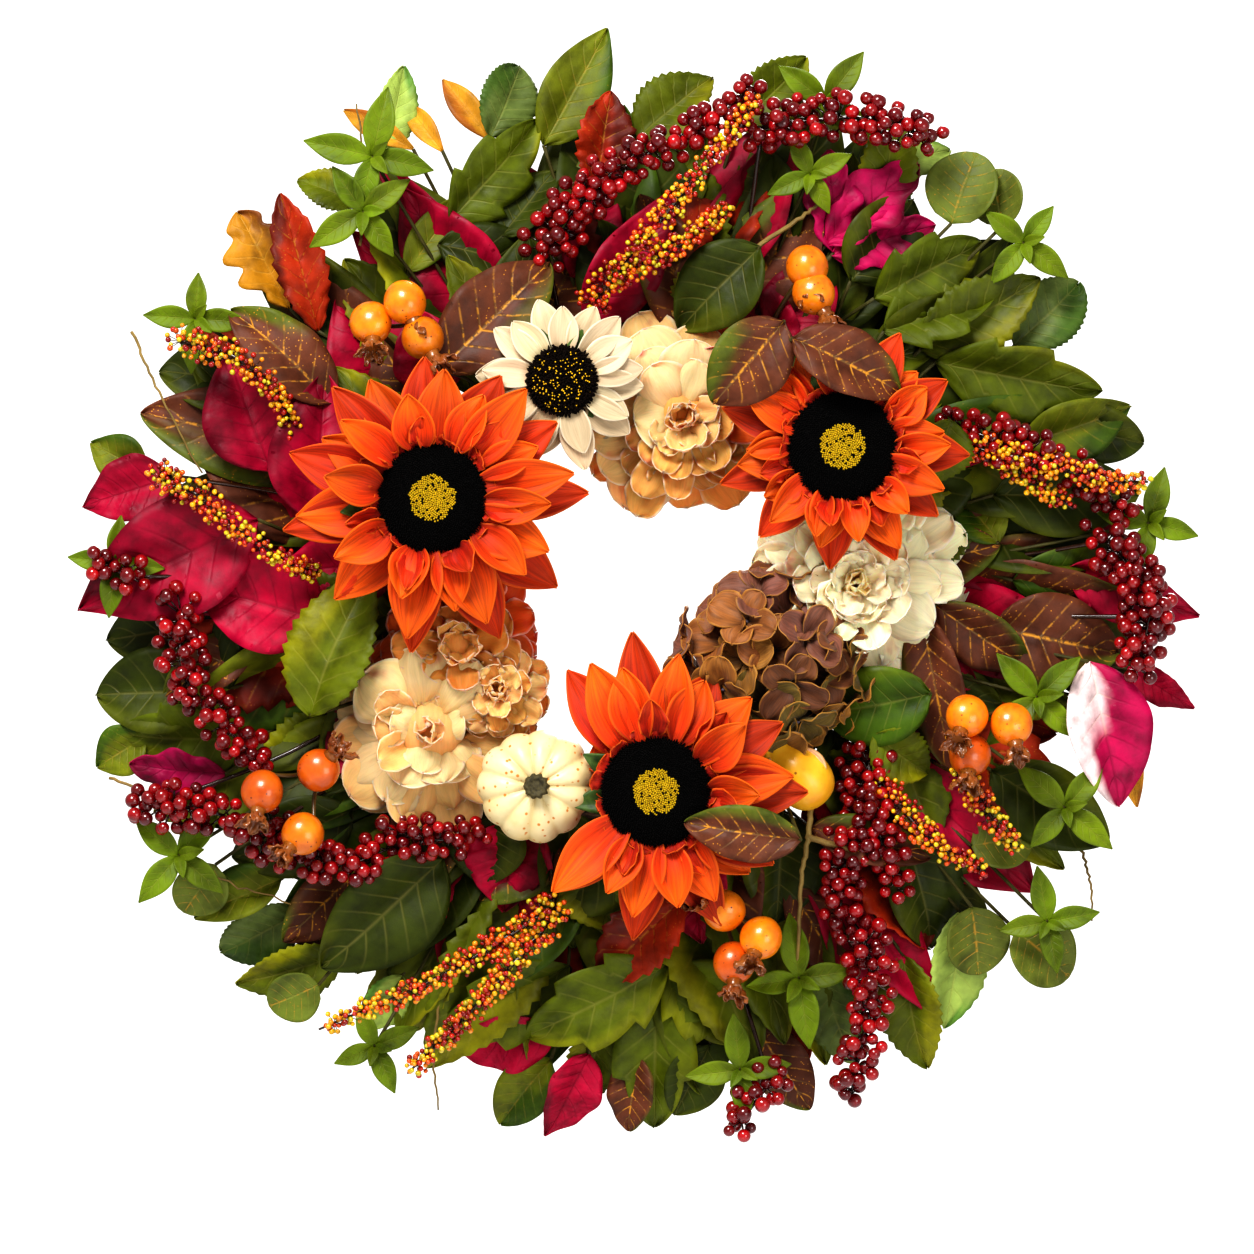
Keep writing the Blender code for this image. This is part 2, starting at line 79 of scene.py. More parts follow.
def colour(red, green, blue):
    """A paint-card colour from 0 to 255 as the shader's own light values."""
    card = np.array((red, green, blue)) / 255
    light = np.where(card <= 0.04045, card / 12.92, ((card + 0.055) / 1.055) ** 2.4)
    return (*light.tolist(), 1.0)


def toward(hour):
    """The way out from the ring's middle at that hour of the clock."""
    angle = math.radians(30 * hour)
    return math.sin(angle) * THREE + math.cos(angle) * TWELVE


def at(hour, out, depth):
    """A place on the wreath: the hour, the distance out, and the depth forward from its back."""
    place = ring_middle + out * toward(hour)
    place[1] = wreath_back - depth
    return place


def unit(vector):
    return vector / max(np.linalg.norm(vector), 1e-12)


def circle(count):
    """So many angles spread evenly round a circle."""
    return np.arange(count) / count * 2 * np.pi


def tube(route, radii, sides, closed=False, flute=None, seed=0.0):
    """A round stem along a route, as thick at each point as radii says; flute swells its sides."""
    route = np.asarray(route, float)
    radii = np.broadcast_to(np.asarray(radii, float), len(route))
    if closed:
        ahead = np.roll(route, -1, 0) - np.roll(route, 1, 0)
    else:
        ahead = np.gradient(route, axis=0)
    ahead = ahead / np.linalg.norm(ahead, axis=1)[:, None]
    start = np.eye(3)[np.argmin(np.abs(ahead[0]))]
    side = unit(start - start.dot(ahead[0]) * ahead[0])
    across = []
    for way in ahead:
        side = unit(side - side.dot(way) * way)
        across.append(side)
    across = np.array(across)
    over = np.cross(ahead, across)
    turn = circle(sides)
    reach = radii[:, None] * (np.ones(sides) if flute is None else flute)
    sine, cosine = np.sin(turn)[None, :, None], np.cos(turn)[None, :, None]
    around = cosine * across[:, None] + sine * over[:, None]
    points = (route[:, None] + reach[:, :, None] * around).reshape(-1, 3)
    rows = len(route)
    row = np.arange(rows if closed else rows - 1)[:, None]
    column = np.arange(sides)[None, :]
    after, beside = (row + 1) % rows * sides, (column + 1) % sides
    row = row * sides
    skin = np.stack([row + column, row + beside, after + beside, after + column], -1).reshape(-1, 4)
    faces = [(skin, True)]
    if not closed:
        faces.append((np.arange(sides)[None, ::-1], False))
        faces.append((np.arange(sides)[None] + (rows - 1) * sides, False))
    marks = np.zeros((len(points), 3))
    marks[:, 0] = np.tile(turn / np.pi - 1, rows)
    marks[:, 1] = np.repeat(np.linspace(0, 1, rows), sides)
    marks[:, 2] = seed
    return Part(points, faces, marks, np.ones((len(points), 4)))


def assemble(name, parts, finish, slot, *nodes, body="wreath"):
    """Joins parts into one named piece with its finish; the piece stands for those CAD nodes."""
    faces, smooth, start = [], [], 0
    for part in parts:
        for corners, rounded in part.faces:
            faces.extend((corners + start).tolist())
            smooth.extend([rounded] * len(corners))
        start += len(part.points)
    mesh = bpy.data.meshes.new(name)
    mesh.from_pydata(np.concatenate([part.points for part in parts]).tolist(), [], faces)
    mesh.polygons.foreach_set("use_smooth", smooth)
    marks = mesh.attributes.new("blade", "FLOAT_VECTOR", "POINT")
    marks.data.foreach_set("vector", np.concatenate([part.marks for part in parts]).ravel())
    tints = mesh.attributes.new("tint", "FLOAT_COLOR", "POINT")
    tints.data.foreach_set("color", np.concatenate([part.tints for part in parts]).ravel())
    mesh.materials.append(finish)
    piece = bpy.data.objects.new(name, mesh)
    bpy.context.scene.collection.objects.link(piece)
    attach(piece, body)
    if nodes:
        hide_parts(*nodes)
    return piece


def new_finish(name, **shader):
    """A finish whose shader has those values; an underscore in a socket's name stands for a space."""
    finish = bpy.data.materials.new(name)
    finish.use_nodes = True
    sockets = finish.node_tree.nodes["Principled BSDF"].inputs
    for socket, value in shader.items():
        sockets[socket.replace("_", " ")].default_value = value
    return finish


def step(finish, kind, sockets, output=0, **settings):
    """Adds one node to a finish, sets or joins its sockets, and gives back one of its outputs."""
    made = finish.node_tree.nodes.new("ShaderNode" + kind)
    for setting, value in settings.items():
        setattr(made, setting, value)
    for socket, value in sockets.items():
        if isinstance(value, bpy.types.NodeSocket):
            finish.node_tree.links.new(value, made.inputs[socket])
        else:
            made.inputs[socket].default_value = value
    return made.outputs[output]


def sums(finish, way, first, second=0.0, third=0.0, clamp=False):
    return step(finish, "Math", {0: first, 1: second, 2: third}, operation=way, use_clamp=clamp)


def times(finish, first, second, clamp=False):
    return sums(finish, "MULTIPLY", first, second, clamp=clamp)


def between(finish, value, low=0.0, high=1.0, first=0.0, last=1.0):
    """Takes a value that lies from low to high to one that lies from first to last."""
    return step(finish, "MapRange", {0: value, 1: low, 2: high, 3: first, 4: last})


def mixed(finish, amount, first, second, way="MIX"):
    sockets = {0: amount, 6: first, 7: second}
    return step(finish, "Mix", sockets, 2, data_type="RGBA", blend_type=way, clamp_factor=True)


def ramp(finish, amount, *stops):
    """Turns an amount from 0 to 1 into colours; each stop is a position and its colour."""
    made = finish.node_tree.nodes.new("ShaderNodeValToRGB")
    finish.node_tree.links.new(amount, made.inputs[0])
    while len(made.color_ramp.elements) < len(stops):
        made.color_ramp.elements.new(0.5)
    for element, (position, shade) in zip(made.color_ramp.elements, stops):
        element.position = position
        element.color = shade
    return made.outputs[0]


def grain(finish, scale, detail, where=None, roughness=0.55):
    """A cloudy pattern from 0 to 1, as fine as its scale, fixed to the object."""
    if where is None:
        where = step(finish, "TexCoord", {}, "Object")
    sockets = {"Vector": where, "Scale": scale, "Detail": detail, "Roughness": roughness}
    return step(finish, "TexNoise", sockets, "Fac")


def join(finish, socket, value):
    finish.node_tree.links.new(value, finish.node_tree.nodes["Principled BSDF"].inputs[socket])


def raised(finish, height, strength, distance):
    """Raises the surface by a pattern, as far as distance in metres."""
    sockets = {"Height": height, "Strength": strength, "Distance": distance}
    join(finish, "Normal", step(finish, "Bump", sockets))


def marks_of(finish):
    """Where a point lies on its own blade: across from -1 to 1, along from 0 to 1, and its seed."""
    marks = step(finish, "Attribute", {}, "Vector", attribute_name="blade")
    return [step(finish, "SeparateXYZ", {0: marks}, axis) for axis in range(3)]


def tint_of(finish, output="Color"):
    return step(finish, "Attribute", {}, output, attribute_name="tint")


bark = new_finish("grapevine_bark", Roughness=0.85)
bark_around, bark_along, bark_seed = marks_of(bark)
bark_lines = step(bark, "CombineXYZ", {0: times(bark, bark_around, 4.0),
                                       1: times(bark, bark_along, 60.0), 2: bark_seed})
bark_fibre = grain(bark, 2.5, 6.0, bark_lines, 0.7)
bark_patch = grain(bark, 90.0, 3.0)
bark_brown = ramp(bark, bark_fibre, (0.3, colour(38, 24, 15)), (0.55, colour(96, 66, 42)),
                  (0.75, colour(150, 118, 84)))
join(bark, "Base Color", mixed(bark, bark_patch, bark_brown, colour(70, 52, 38), "MULTIPLY"))
join(bark, "Roughness", ramp(bark, bark_fibre, (0.2, (0.7,) * 3 + (1,)), (0.8, (0.95,) * 3 + (1,))))
raised(bark, bark_fibre, 0.9, 0.0008)

CANES = 3
for hoop_number, hoop in enumerate(("back_inner", "back_outer", "front_inner", "front_outer")):
    dice = np.random.default_rng(100 + hoop_number)
    low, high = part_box(f"vine_hoop_{hoop}")
    thick = (high.y - low.y) / 2
    round_hoop = (high.x - low.x) / 2 - thick
    turn = circle(300)
    canes = []
    for cane in range(CANES):
        winding = (7 + hoop_number % 2) * turn + cane * 2 * np.pi / CANES
        wander = 0.12 * np.sin(3 * turn + dice.uniform(0, 6))
        wander += 0.08 * np.sin(11 * turn + dice.uniform(0, 6))
        off = thick * (0.46 + 0.1 * wander)
        out = round_hoop + off * np.cos(winding)
        deep = (low.y + high.y) / 2 + off * np.sin(winding)
        right, up = out * np.sin(turn), out * np.cos(turn)
        route = np.stack([ring_middle[0] + right, deep, ring_middle[2] + up], 1)
        knots = sum(np.exp(-(((turn - spot + np.pi) % (2 * np.pi) - np.pi) / 0.025) ** 2)
                    for spot in dice.uniform(0, 2 * np.pi, 6))
        around = circle(10)
        ridges = 1 + 0.07 * np.sin(3 * around[None] + 5 * turn[:, None])
        ridges += 0.05 * np.sin(5 * around[None])
        cane_radii = thick * (0.47 + 0.07 * knots + 0.03 * wander)
        canes.append(tube(route, cane_radii, 10, True, ridges, seed=cane))
    assemble(f"grapevine_{hoop}", canes, bark, "vine_bark", f"vine_hoop_{hoop}")

# ------------------------------
# Wire. Annealed iron wire, brown with oil, is twisted round the hoops in three places, and the
# hanging loop turns under the top one. These keep the shape they are bent to in the frame.
# ------------------------------

wire = new_finish("annealed_wire", Metallic=0.75, Roughness=0.5)
wire_wear = grain(wire, 900.0, 4.0)
join(wire, "Base Color", ramp(wire, wire_wear, (0.3, colour(40, 28, 20)), (0.7, colour(92, 70, 52))))
join(wire, "Roughness", ramp(wire, wire_wear, (0.3, (0.35,) * 3 + (1,)), (0.7, (0.65,) * 3 + (1,))))
raised(wire, wire_wear, 0.4, 0.0002)


def solid_of(node):
    """The CAD node's own points and faces, with the corners that meet joined up."""
    shape = bmesh.new()
    shape.from_mesh(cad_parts[node].data)
    bmesh.ops.remove_doubles(shape, verts=shape.verts, dist=2e-5)
    points = np.array([vert.co for vert in shape.verts])
    corners = np.array([[vert.index for vert in face.verts] for face in shape.faces])
    shape.free()
    return Part(points, [(corners, True)], np.zeros((len(points), 3)), np.ones((len(points), 4)))


def rounded(name, node, finish, slot, body="wreath"):
    """A drawn or moulded piece: the CAD solid with its sides rounded off."""
    piece = assemble(name, [solid_of(node)], finish, slot, node, body=body)
    smoothing = piece.modifiers.new("rounding", "SUBSURF")
    smoothing.levels = smoothing.render_levels = 2
    return piece


rounded("hanging_loop", "hanger_loop", wire, "dark_wire", body="hanger")
rounded("hanging_loop_tie", "hanger_tie", wire, "dark_wire")
rounded("ring_tie_left", "binding_tie_left", wire, "dark_wire")
rounded("ring_tie_right", "binding_tie_right", wire, "dark_wire")

# ------------------------------
# Leaf picks. Printed cloth and pressed plastic leaves of fourteen kinds, each on a wire in green
# tape, are pushed into the ring in ten bundles: five in front, and five lower ones behind.
# ------------------------------


@lru_cache
def sheet_faces(rows, columns):
    """The corners of a closed sheet: its front, its back, and the rim that joins them."""
    size = rows * columns
    row = np.arange(rows - 1)[:, None] * columns
    column = np.arange(columns - 1)[None, :]
    corner = row + column
    front = np.stack([corner, corner + 1, corner + columns + 1, corner + columns], -1).reshape(-1, 4)
    edge = [*range(columns - 1), *range(columns - 1, size - 1, columns),
            *range(size - 1, size - columns, -1), *range(size - columns, 0, -columns)]
    edge = np.array(edge)
    after = np.roll(edge, -1)
    rim = np.stack([edge, edge + size, after + size, after], -1)
    return [(front, True), (front[:, ::-1] + size, True), (rim, False)]


def blade(length, width, widest=0.5, point=0.8, fold=0.0, cup=0.0, curl=0.0, late=1.0, twist=0.0,
          ruffle=0.0, waves=3.0, teeth=0, tooth=0.1, lobes=0, lobe=0.3, grooves=0.0, quilt=0.0,
          veins=7.0, crumple=0.0, rows=14, columns=10, foot=0.0007, thick=0.0005, seed=0.0):
    """A leaf or petal lying flat: its root at the origin, its tip along y, and its face up z."""
    along = np.linspace(0, 1, rows + 1)[:, None]
    if not teeth:
        along = 1.6 * along - 0.6 * along ** 2
    across = np.linspace(-1, 1, columns + 1)[None, :]
    swell = np.sin(np.pi * np.clip(along, 0, 1) ** (math.log(0.5) / math.log(widest))).clip(0) ** point
    half = width / 2 * swell
    if teeth:
        half = half * (1 + tooth * (along * teeth % 1 - 0.5))
    if lobes:
        half = half * (1 - lobe * (0.5 + 0.5 * np.cos(2 * np.pi * (along * lobes + 0.15))) ** 1.5)
    half = foot * (1 - 0.6 * along) + half
    bend = curl * along ** late
    gap = np.diff(along[:, 0], prepend=0)[:, None]
    forward = np.cumsum(np.cos(bend) * gap, 0) * length
    lift = np.cumsum(np.sin(bend) * gap, 0) * length
    rise = fold * half * np.abs(across)
    rise = rise + cup * half * across ** 2 * np.sin(np.pi * along.clip(0.02, 1) ** 0.8)
    phase = seed * 7.3
    ripple = np.sin(2 * np.pi * waves * along + phase + 1.7 * np.sign(across))
    rise = rise + ruffle * np.abs(across) ** 2.5 * swell * ripple
    rise = rise - grooves * np.exp(-((np.abs(across) - 0.38) / 0.16) ** 2) * np.sin(np.pi * along)
    pucker = np.cos(2 * np.pi * veins * (along - 0.2 * np.abs(across)))
    rise = rise + quilt * pucker * np.abs(across) * (1 - np.abs(across)) * 4 * swell
    waver = np.sin(3.1 * across + 7.3 * along + phase) + np.sin(5.7 * across - 4.1 * along)
    rise = rise + crumple * waver
    sideways = across * half * (1 - 0.25 * cup * across ** 2)
    turn = twist * along
    sine, cosine = np.sin(turn), np.cos(turn)
    sideways, rise = sideways * cosine - rise * sine, sideways * sine + rise * cosine
    front = np.stack([sideways, forward - rise * np.sin(bend), lift + rise * np.cos(bend)], -1)
    down, over = np.gradient(front, axis=0), np.gradient(front, axis=1)
    normal = np.cross(over, down)
    normal /= np.linalg.norm(normal, axis=2)[:, :, None] + 1e-12
    back = front - thick * normal
    marks = np.stack([across + 0 * along, along + 0 * across, seed + 0 * across + 0 * along], -1)
    points = np.concatenate([front.reshape(-1, 3), back.reshape(-1, 3)])
    marks = np.tile(marks.reshape(-1, 3), (2, 1))
    return Part(points, sheet_faces(rows + 1, columns + 1), marks, np.ones((len(points), 4)))


def stand(part, foot, ahead, up, roll=0.0):
    """Sets a part down with its root at foot, pointing ahead, its face turned up and then rolled."""
    ahead = unit(ahead)
    up = unit(up - up.dot(ahead) * ahead)
    side = np.cross(ahead, up)
    side, up = side * math.cos(roll) + up * math.sin(roll), up * math.cos(roll) - side * math.sin(roll)
    return part._replace(points=foot + part.points @ np.array([side, ahead, up]))


def dyed(part, shade, fade=0.0, dice=None):
    """Gives a part its colour, a shade lighter or darker where dice say so; fade is its alpha."""
    shade = np.array(colour(*shade))
    if dice is not None:
        shade[:3] *= dice.uniform(0.84, 1.16) * (1 + dice.uniform(-0.035, 0.035, 3))
    shade[3] = fade
    return part._replace(tints=np.tile(shade, (len(part.points), 1)))


def two_tone(part, first, second, split, dice):
    """A leaf that turns from one colour to another across it, with a ragged border."""
    across, along = part.marks[:, 0], part.marks[:, 1]
    wave = 0.25 * np.sin(5 * along + dice.uniform(0, 6)) + 0.15 * np.sin(9 * across + dice.uniform(0, 6))
    share = ((across * dice.choice([-1, 1]) + 0.7 * (along - 0.5) + wave - split) * 2.5).clip(0, 1)[:, None]
    tints = part.tints.copy()
    tints[:, :3] = (1 - share) * np.array(colour(*first)[:3]) + share * np.array(colour(*second)[:3])
    tints[:, :3] *= dice.uniform(0.85, 1.15)
    return part._replace(tints=tints)


leaf = new_finish("printed_leaf", Roughness=0.52, Specular_IOR_Level=0.28)
leaf_across, leaf_along = marks_of(leaf)[:2]
leaf_side = sums(leaf, "ABSOLUTE", leaf_across)
leaf_rib = sums(leaf, "SUBTRACT", 1.0, times(leaf, leaf_side, 17.0), clamp=True)
leaf_slant = sums(leaf, "SUBTRACT", leaf_along, times(leaf, leaf_side, 0.2))
leaf_turn = times(leaf, leaf_slant, 7.0)
leaf_off = sums(leaf, "ABSOLUTE", sums(leaf, "SUBTRACT", sums(leaf, "FRACT", leaf_turn), 0.5))
leaf_branch = sums(leaf, "SUBTRACT", 1.0, times(leaf, leaf_off, 11.0), clamp=True)
leaf_branch = times(leaf, leaf_branch, sums(leaf, "SUBTRACT", 1.05, leaf_side), clamp=True)
leaf_vein = sums(leaf, "MAXIMUM", leaf_rib, leaf_branch)
leaf_cloud = grain(leaf, 70.0, 4.0)
leaf_fine = grain(leaf, 900.0, 3.0)
leaf_where = step(leaf, "TexCoord", {}, "Object")
leaf_cells = step(leaf, "TexVoronoi", {"Vector": leaf_where, "Scale": 420.0}, "Distance")
leaf_tint = tint_of(leaf)
leaf_shade = ramp(leaf, leaf_cloud, (0.28, (0.5, 0.5, 0.5, 1)), (0.5, (0.95, 0.95, 0.95, 1)),
                  (0.75, (1.35, 1.35, 1.3, 1)))
leaf_colour = mixed(leaf, 1.0, leaf_tint, leaf_shade, "MULTIPLY")
leaf_pale = mixed(leaf, 0.35, leaf_tint, colour(205, 190, 110))
leaf_deep = mixed(leaf, 1.0, leaf_tint, (0.3, 0.3, 0.3, 1), "MULTIPLY")
leaf_red = sums(leaf, "MULTIPLY_ADD", step(leaf, "SeparateColor", {0: leaf_tint}, 1), -4.0,
                step(leaf, "SeparateColor", {0: leaf_tint}, 0))
leaf_pale = mixed(leaf, between(leaf, leaf_red, 0.05, 0.2), leaf_pale, leaf_deep)
leaf_colour = mixed(leaf, times(leaf, leaf_vein, 0.38), leaf_colour, leaf_pale)
leaf_broken = between(leaf, grain(leaf, 260.0, 2.0), 0.47, 0.56)
leaf_dots = between(leaf, leaf_cells, 0.19, 0.13)
leaf_dots = times(leaf, leaf_dots, between(leaf, leaf_cloud, 0.5, 0.6))
leaf_print = sums(leaf, "MAXIMUM", times(leaf, leaf_vein, leaf_broken), leaf_dots)
leaf_print = times(leaf, leaf_print, tint_of(leaf, "Alpha"))
leaf_colour = mixed(leaf, leaf_print, leaf_colour, colour(214, 150, 48))
join(leaf, "Base Color", leaf_colour)
join(leaf, "Roughness", between(leaf, leaf_cloud, 0.2, 0.8, 0.4, 0.66))
leaf_relief = sums(leaf, "SUBTRACT", times(leaf, leaf_fine, 0.3), leaf_vein)
raised(leaf, leaf_relief, 0.55, 0.0005)

# Each kind: its colour, the colour it turns to, how far it has turned, how much is flecked with
# yellow, and its cut and set.
LEAF_KINDS = {
    "green": ((92, 100, 4), (130, 128, 10), 0.5, 0.0,
        dict(widest=0.42, point=0.85, teeth=13, tooth=0.16, fold=0.35, quilt=0.0006, rows=39, veins=7)),
    "lobed": ((88, 98, 4), (122, 124, 8), 0.6, 0.0,
        dict(widest=0.44, point=0.85, teeth=3, tooth=0.34, fold=0.3, quilt=0.0007, rows=39, veins=8)),
    "dark": ((56, 65, 4), (82, 88, 8), 0.4, 0.0,
        dict(widest=0.45, point=0.75, fold=0.3, quilt=0.0006, rows=28)),
    "round": ((66, 90, 8), (90, 106, 12), 0.5, 0.0,
        dict(widest=0.5, point=0.55, fold=0.15, quilt=0.0005, rows=26, columns=12)),
    "olive": ((110, 116, 20), (70, 92, 14), 0.3, 0.15,
        dict(widest=0.42, point=0.9, fold=0.4, quilt=0.0006, rows=26)),
    "grey": ((102, 116, 58), (74, 98, 36), 0.3, 0.0,
        dict(widest=0.5, point=0.65, teeth=16, tooth=0.1, fold=0.2, quilt=0.0009, rows=48, veins=9)),
    "pale": ((150, 168, 84), (96, 132, 52), 0.5, 0.0,
        dict(widest=0.45, point=0.8, teeth=11, tooth=0.12, fold=0.3, quilt=0.0005, rows=33)),
    "wine": ((168, 0, 54), (122, 0, 37), 0.5, 0.0,
        dict(widest=0.4, point=1.0, fold=0.35, quilt=0.0014, ruffle=0.002, rows=34, veins=8)),
    "magenta": ((176, 8, 84), (120, 2, 50), 0.7, 0.0,
        dict(widest=0.48, point=0.85, lobes=2.6, lobe=0.3, fold=0.35, quilt=0.001, ruffle=0.002,
             rows=34)),
    "variegated": ((240, 216, 214), (166, 6, 74), -0.7, 0.0,
        dict(widest=0.45, point=0.8, fold=0.35, quilt=0.0012, ruffle=0.001, rows=34)),
    "brown": ((98, 54, 34), (92, 100, 28), 0.7, 1.0,
        dict(widest=0.45, point=0.72, fold=0.25, quilt=0.0007, ruffle=0.0012, rows=28)),
    "mustard": ((176, 122, 22), (120, 70, 24), 0.4, 0.5,
        dict(widest=0.55, point=0.75, lobes=3.6, lobe=0.42, fold=0.25, quilt=0.0006, rows=40)),
    "rust": ((164, 50, 14), (104, 30, 12), 0.4, 0.4,
        dict(widest=0.48, point=0.8, teeth=9, tooth=0.2, fold=0.3, quilt=0.0009, ruffle=0.002, rows=36)),
    "gold": ((206, 148, 44), (160, 96, 30), 0.5, 0.3,
        dict(widest=0.5, point=1.0, fold=0.5, quilt=0.0002, rows=18, columns=6)),
}
LEAF_THICK = 0.00045


def one_leaf(kind, root, tip, width, dice):
    """A leaf of that kind from root to tip, curling back a little towards its tip."""
    first, second, split, fleck, cut = LEAF_KINDS[kind]
    span = tip - root
    length = np.linalg.norm(span)
    made = blade(length * 1.03, width, curl=dice.uniform(-0.75, -0.25), late=1.3, crumple=0.02 * width,
                 twist=dice.uniform(-0.25, 0.25), thick=LEAF_THICK, seed=dice.uniform(0, 9), **cut)
    made = two_tone(made, first, second, split + dice.uniform(-0.3, 0.3), dice)
    made.tints[:, 3] = fleck
    roll = dice.uniform(-0.45, 0.45)
    return stand(made, root, span + 0.22 * length * FORWARD, FORWARD, roll)


def curve(knots, count):
    """A smooth route through the given points, with so many steps between each two."""
    knots = np.asarray(knots, float)
    ends = np.concatenate([[2 * knots[0] - knots[1]], knots, [2 * knots[-1] - knots[-2]]])
    route = []
    for a, b, c, d in zip(ends, ends[1:], ends[2:], ends[3:]):
        for t in np.linspace(0, 1, count, endpoint=False):
            route.append(0.5 * (2 * b + (c - a) * t + (2 * a - 5 * b + 4 * c - d) * t ** 2
                                + (3 * b - a - 3 * c + d) * t ** 3))
    return np.array([*route, knots[-1]])


def taped_wire(root, dice, shade=(74, 70, 34), thick=0.0011, foot_depth=0.03):
    """The wire that carries a leaf or flower, from the ring out to it, wrapped in floral tape."""
    flat = root - ring_middle
    flat[1] = 0
    hour = math.degrees(math.atan2(flat[0], flat[2])) / 30 + dice.uniform(-0.2, 0.2)
    foot = at(hour, ring_radius + dice.uniform(-0.006, 0.012), foot_depth + dice.uniform(-0.008, 0.008))
    bend = foot * 0.45 + root * 0.55 + dice.uniform(-0.006, 0.006, 3) - 0.008 * FORWARD
    return dyed(tube(curve([foot, bend, root], 5), thick, 6), shade, 0.0, dice)


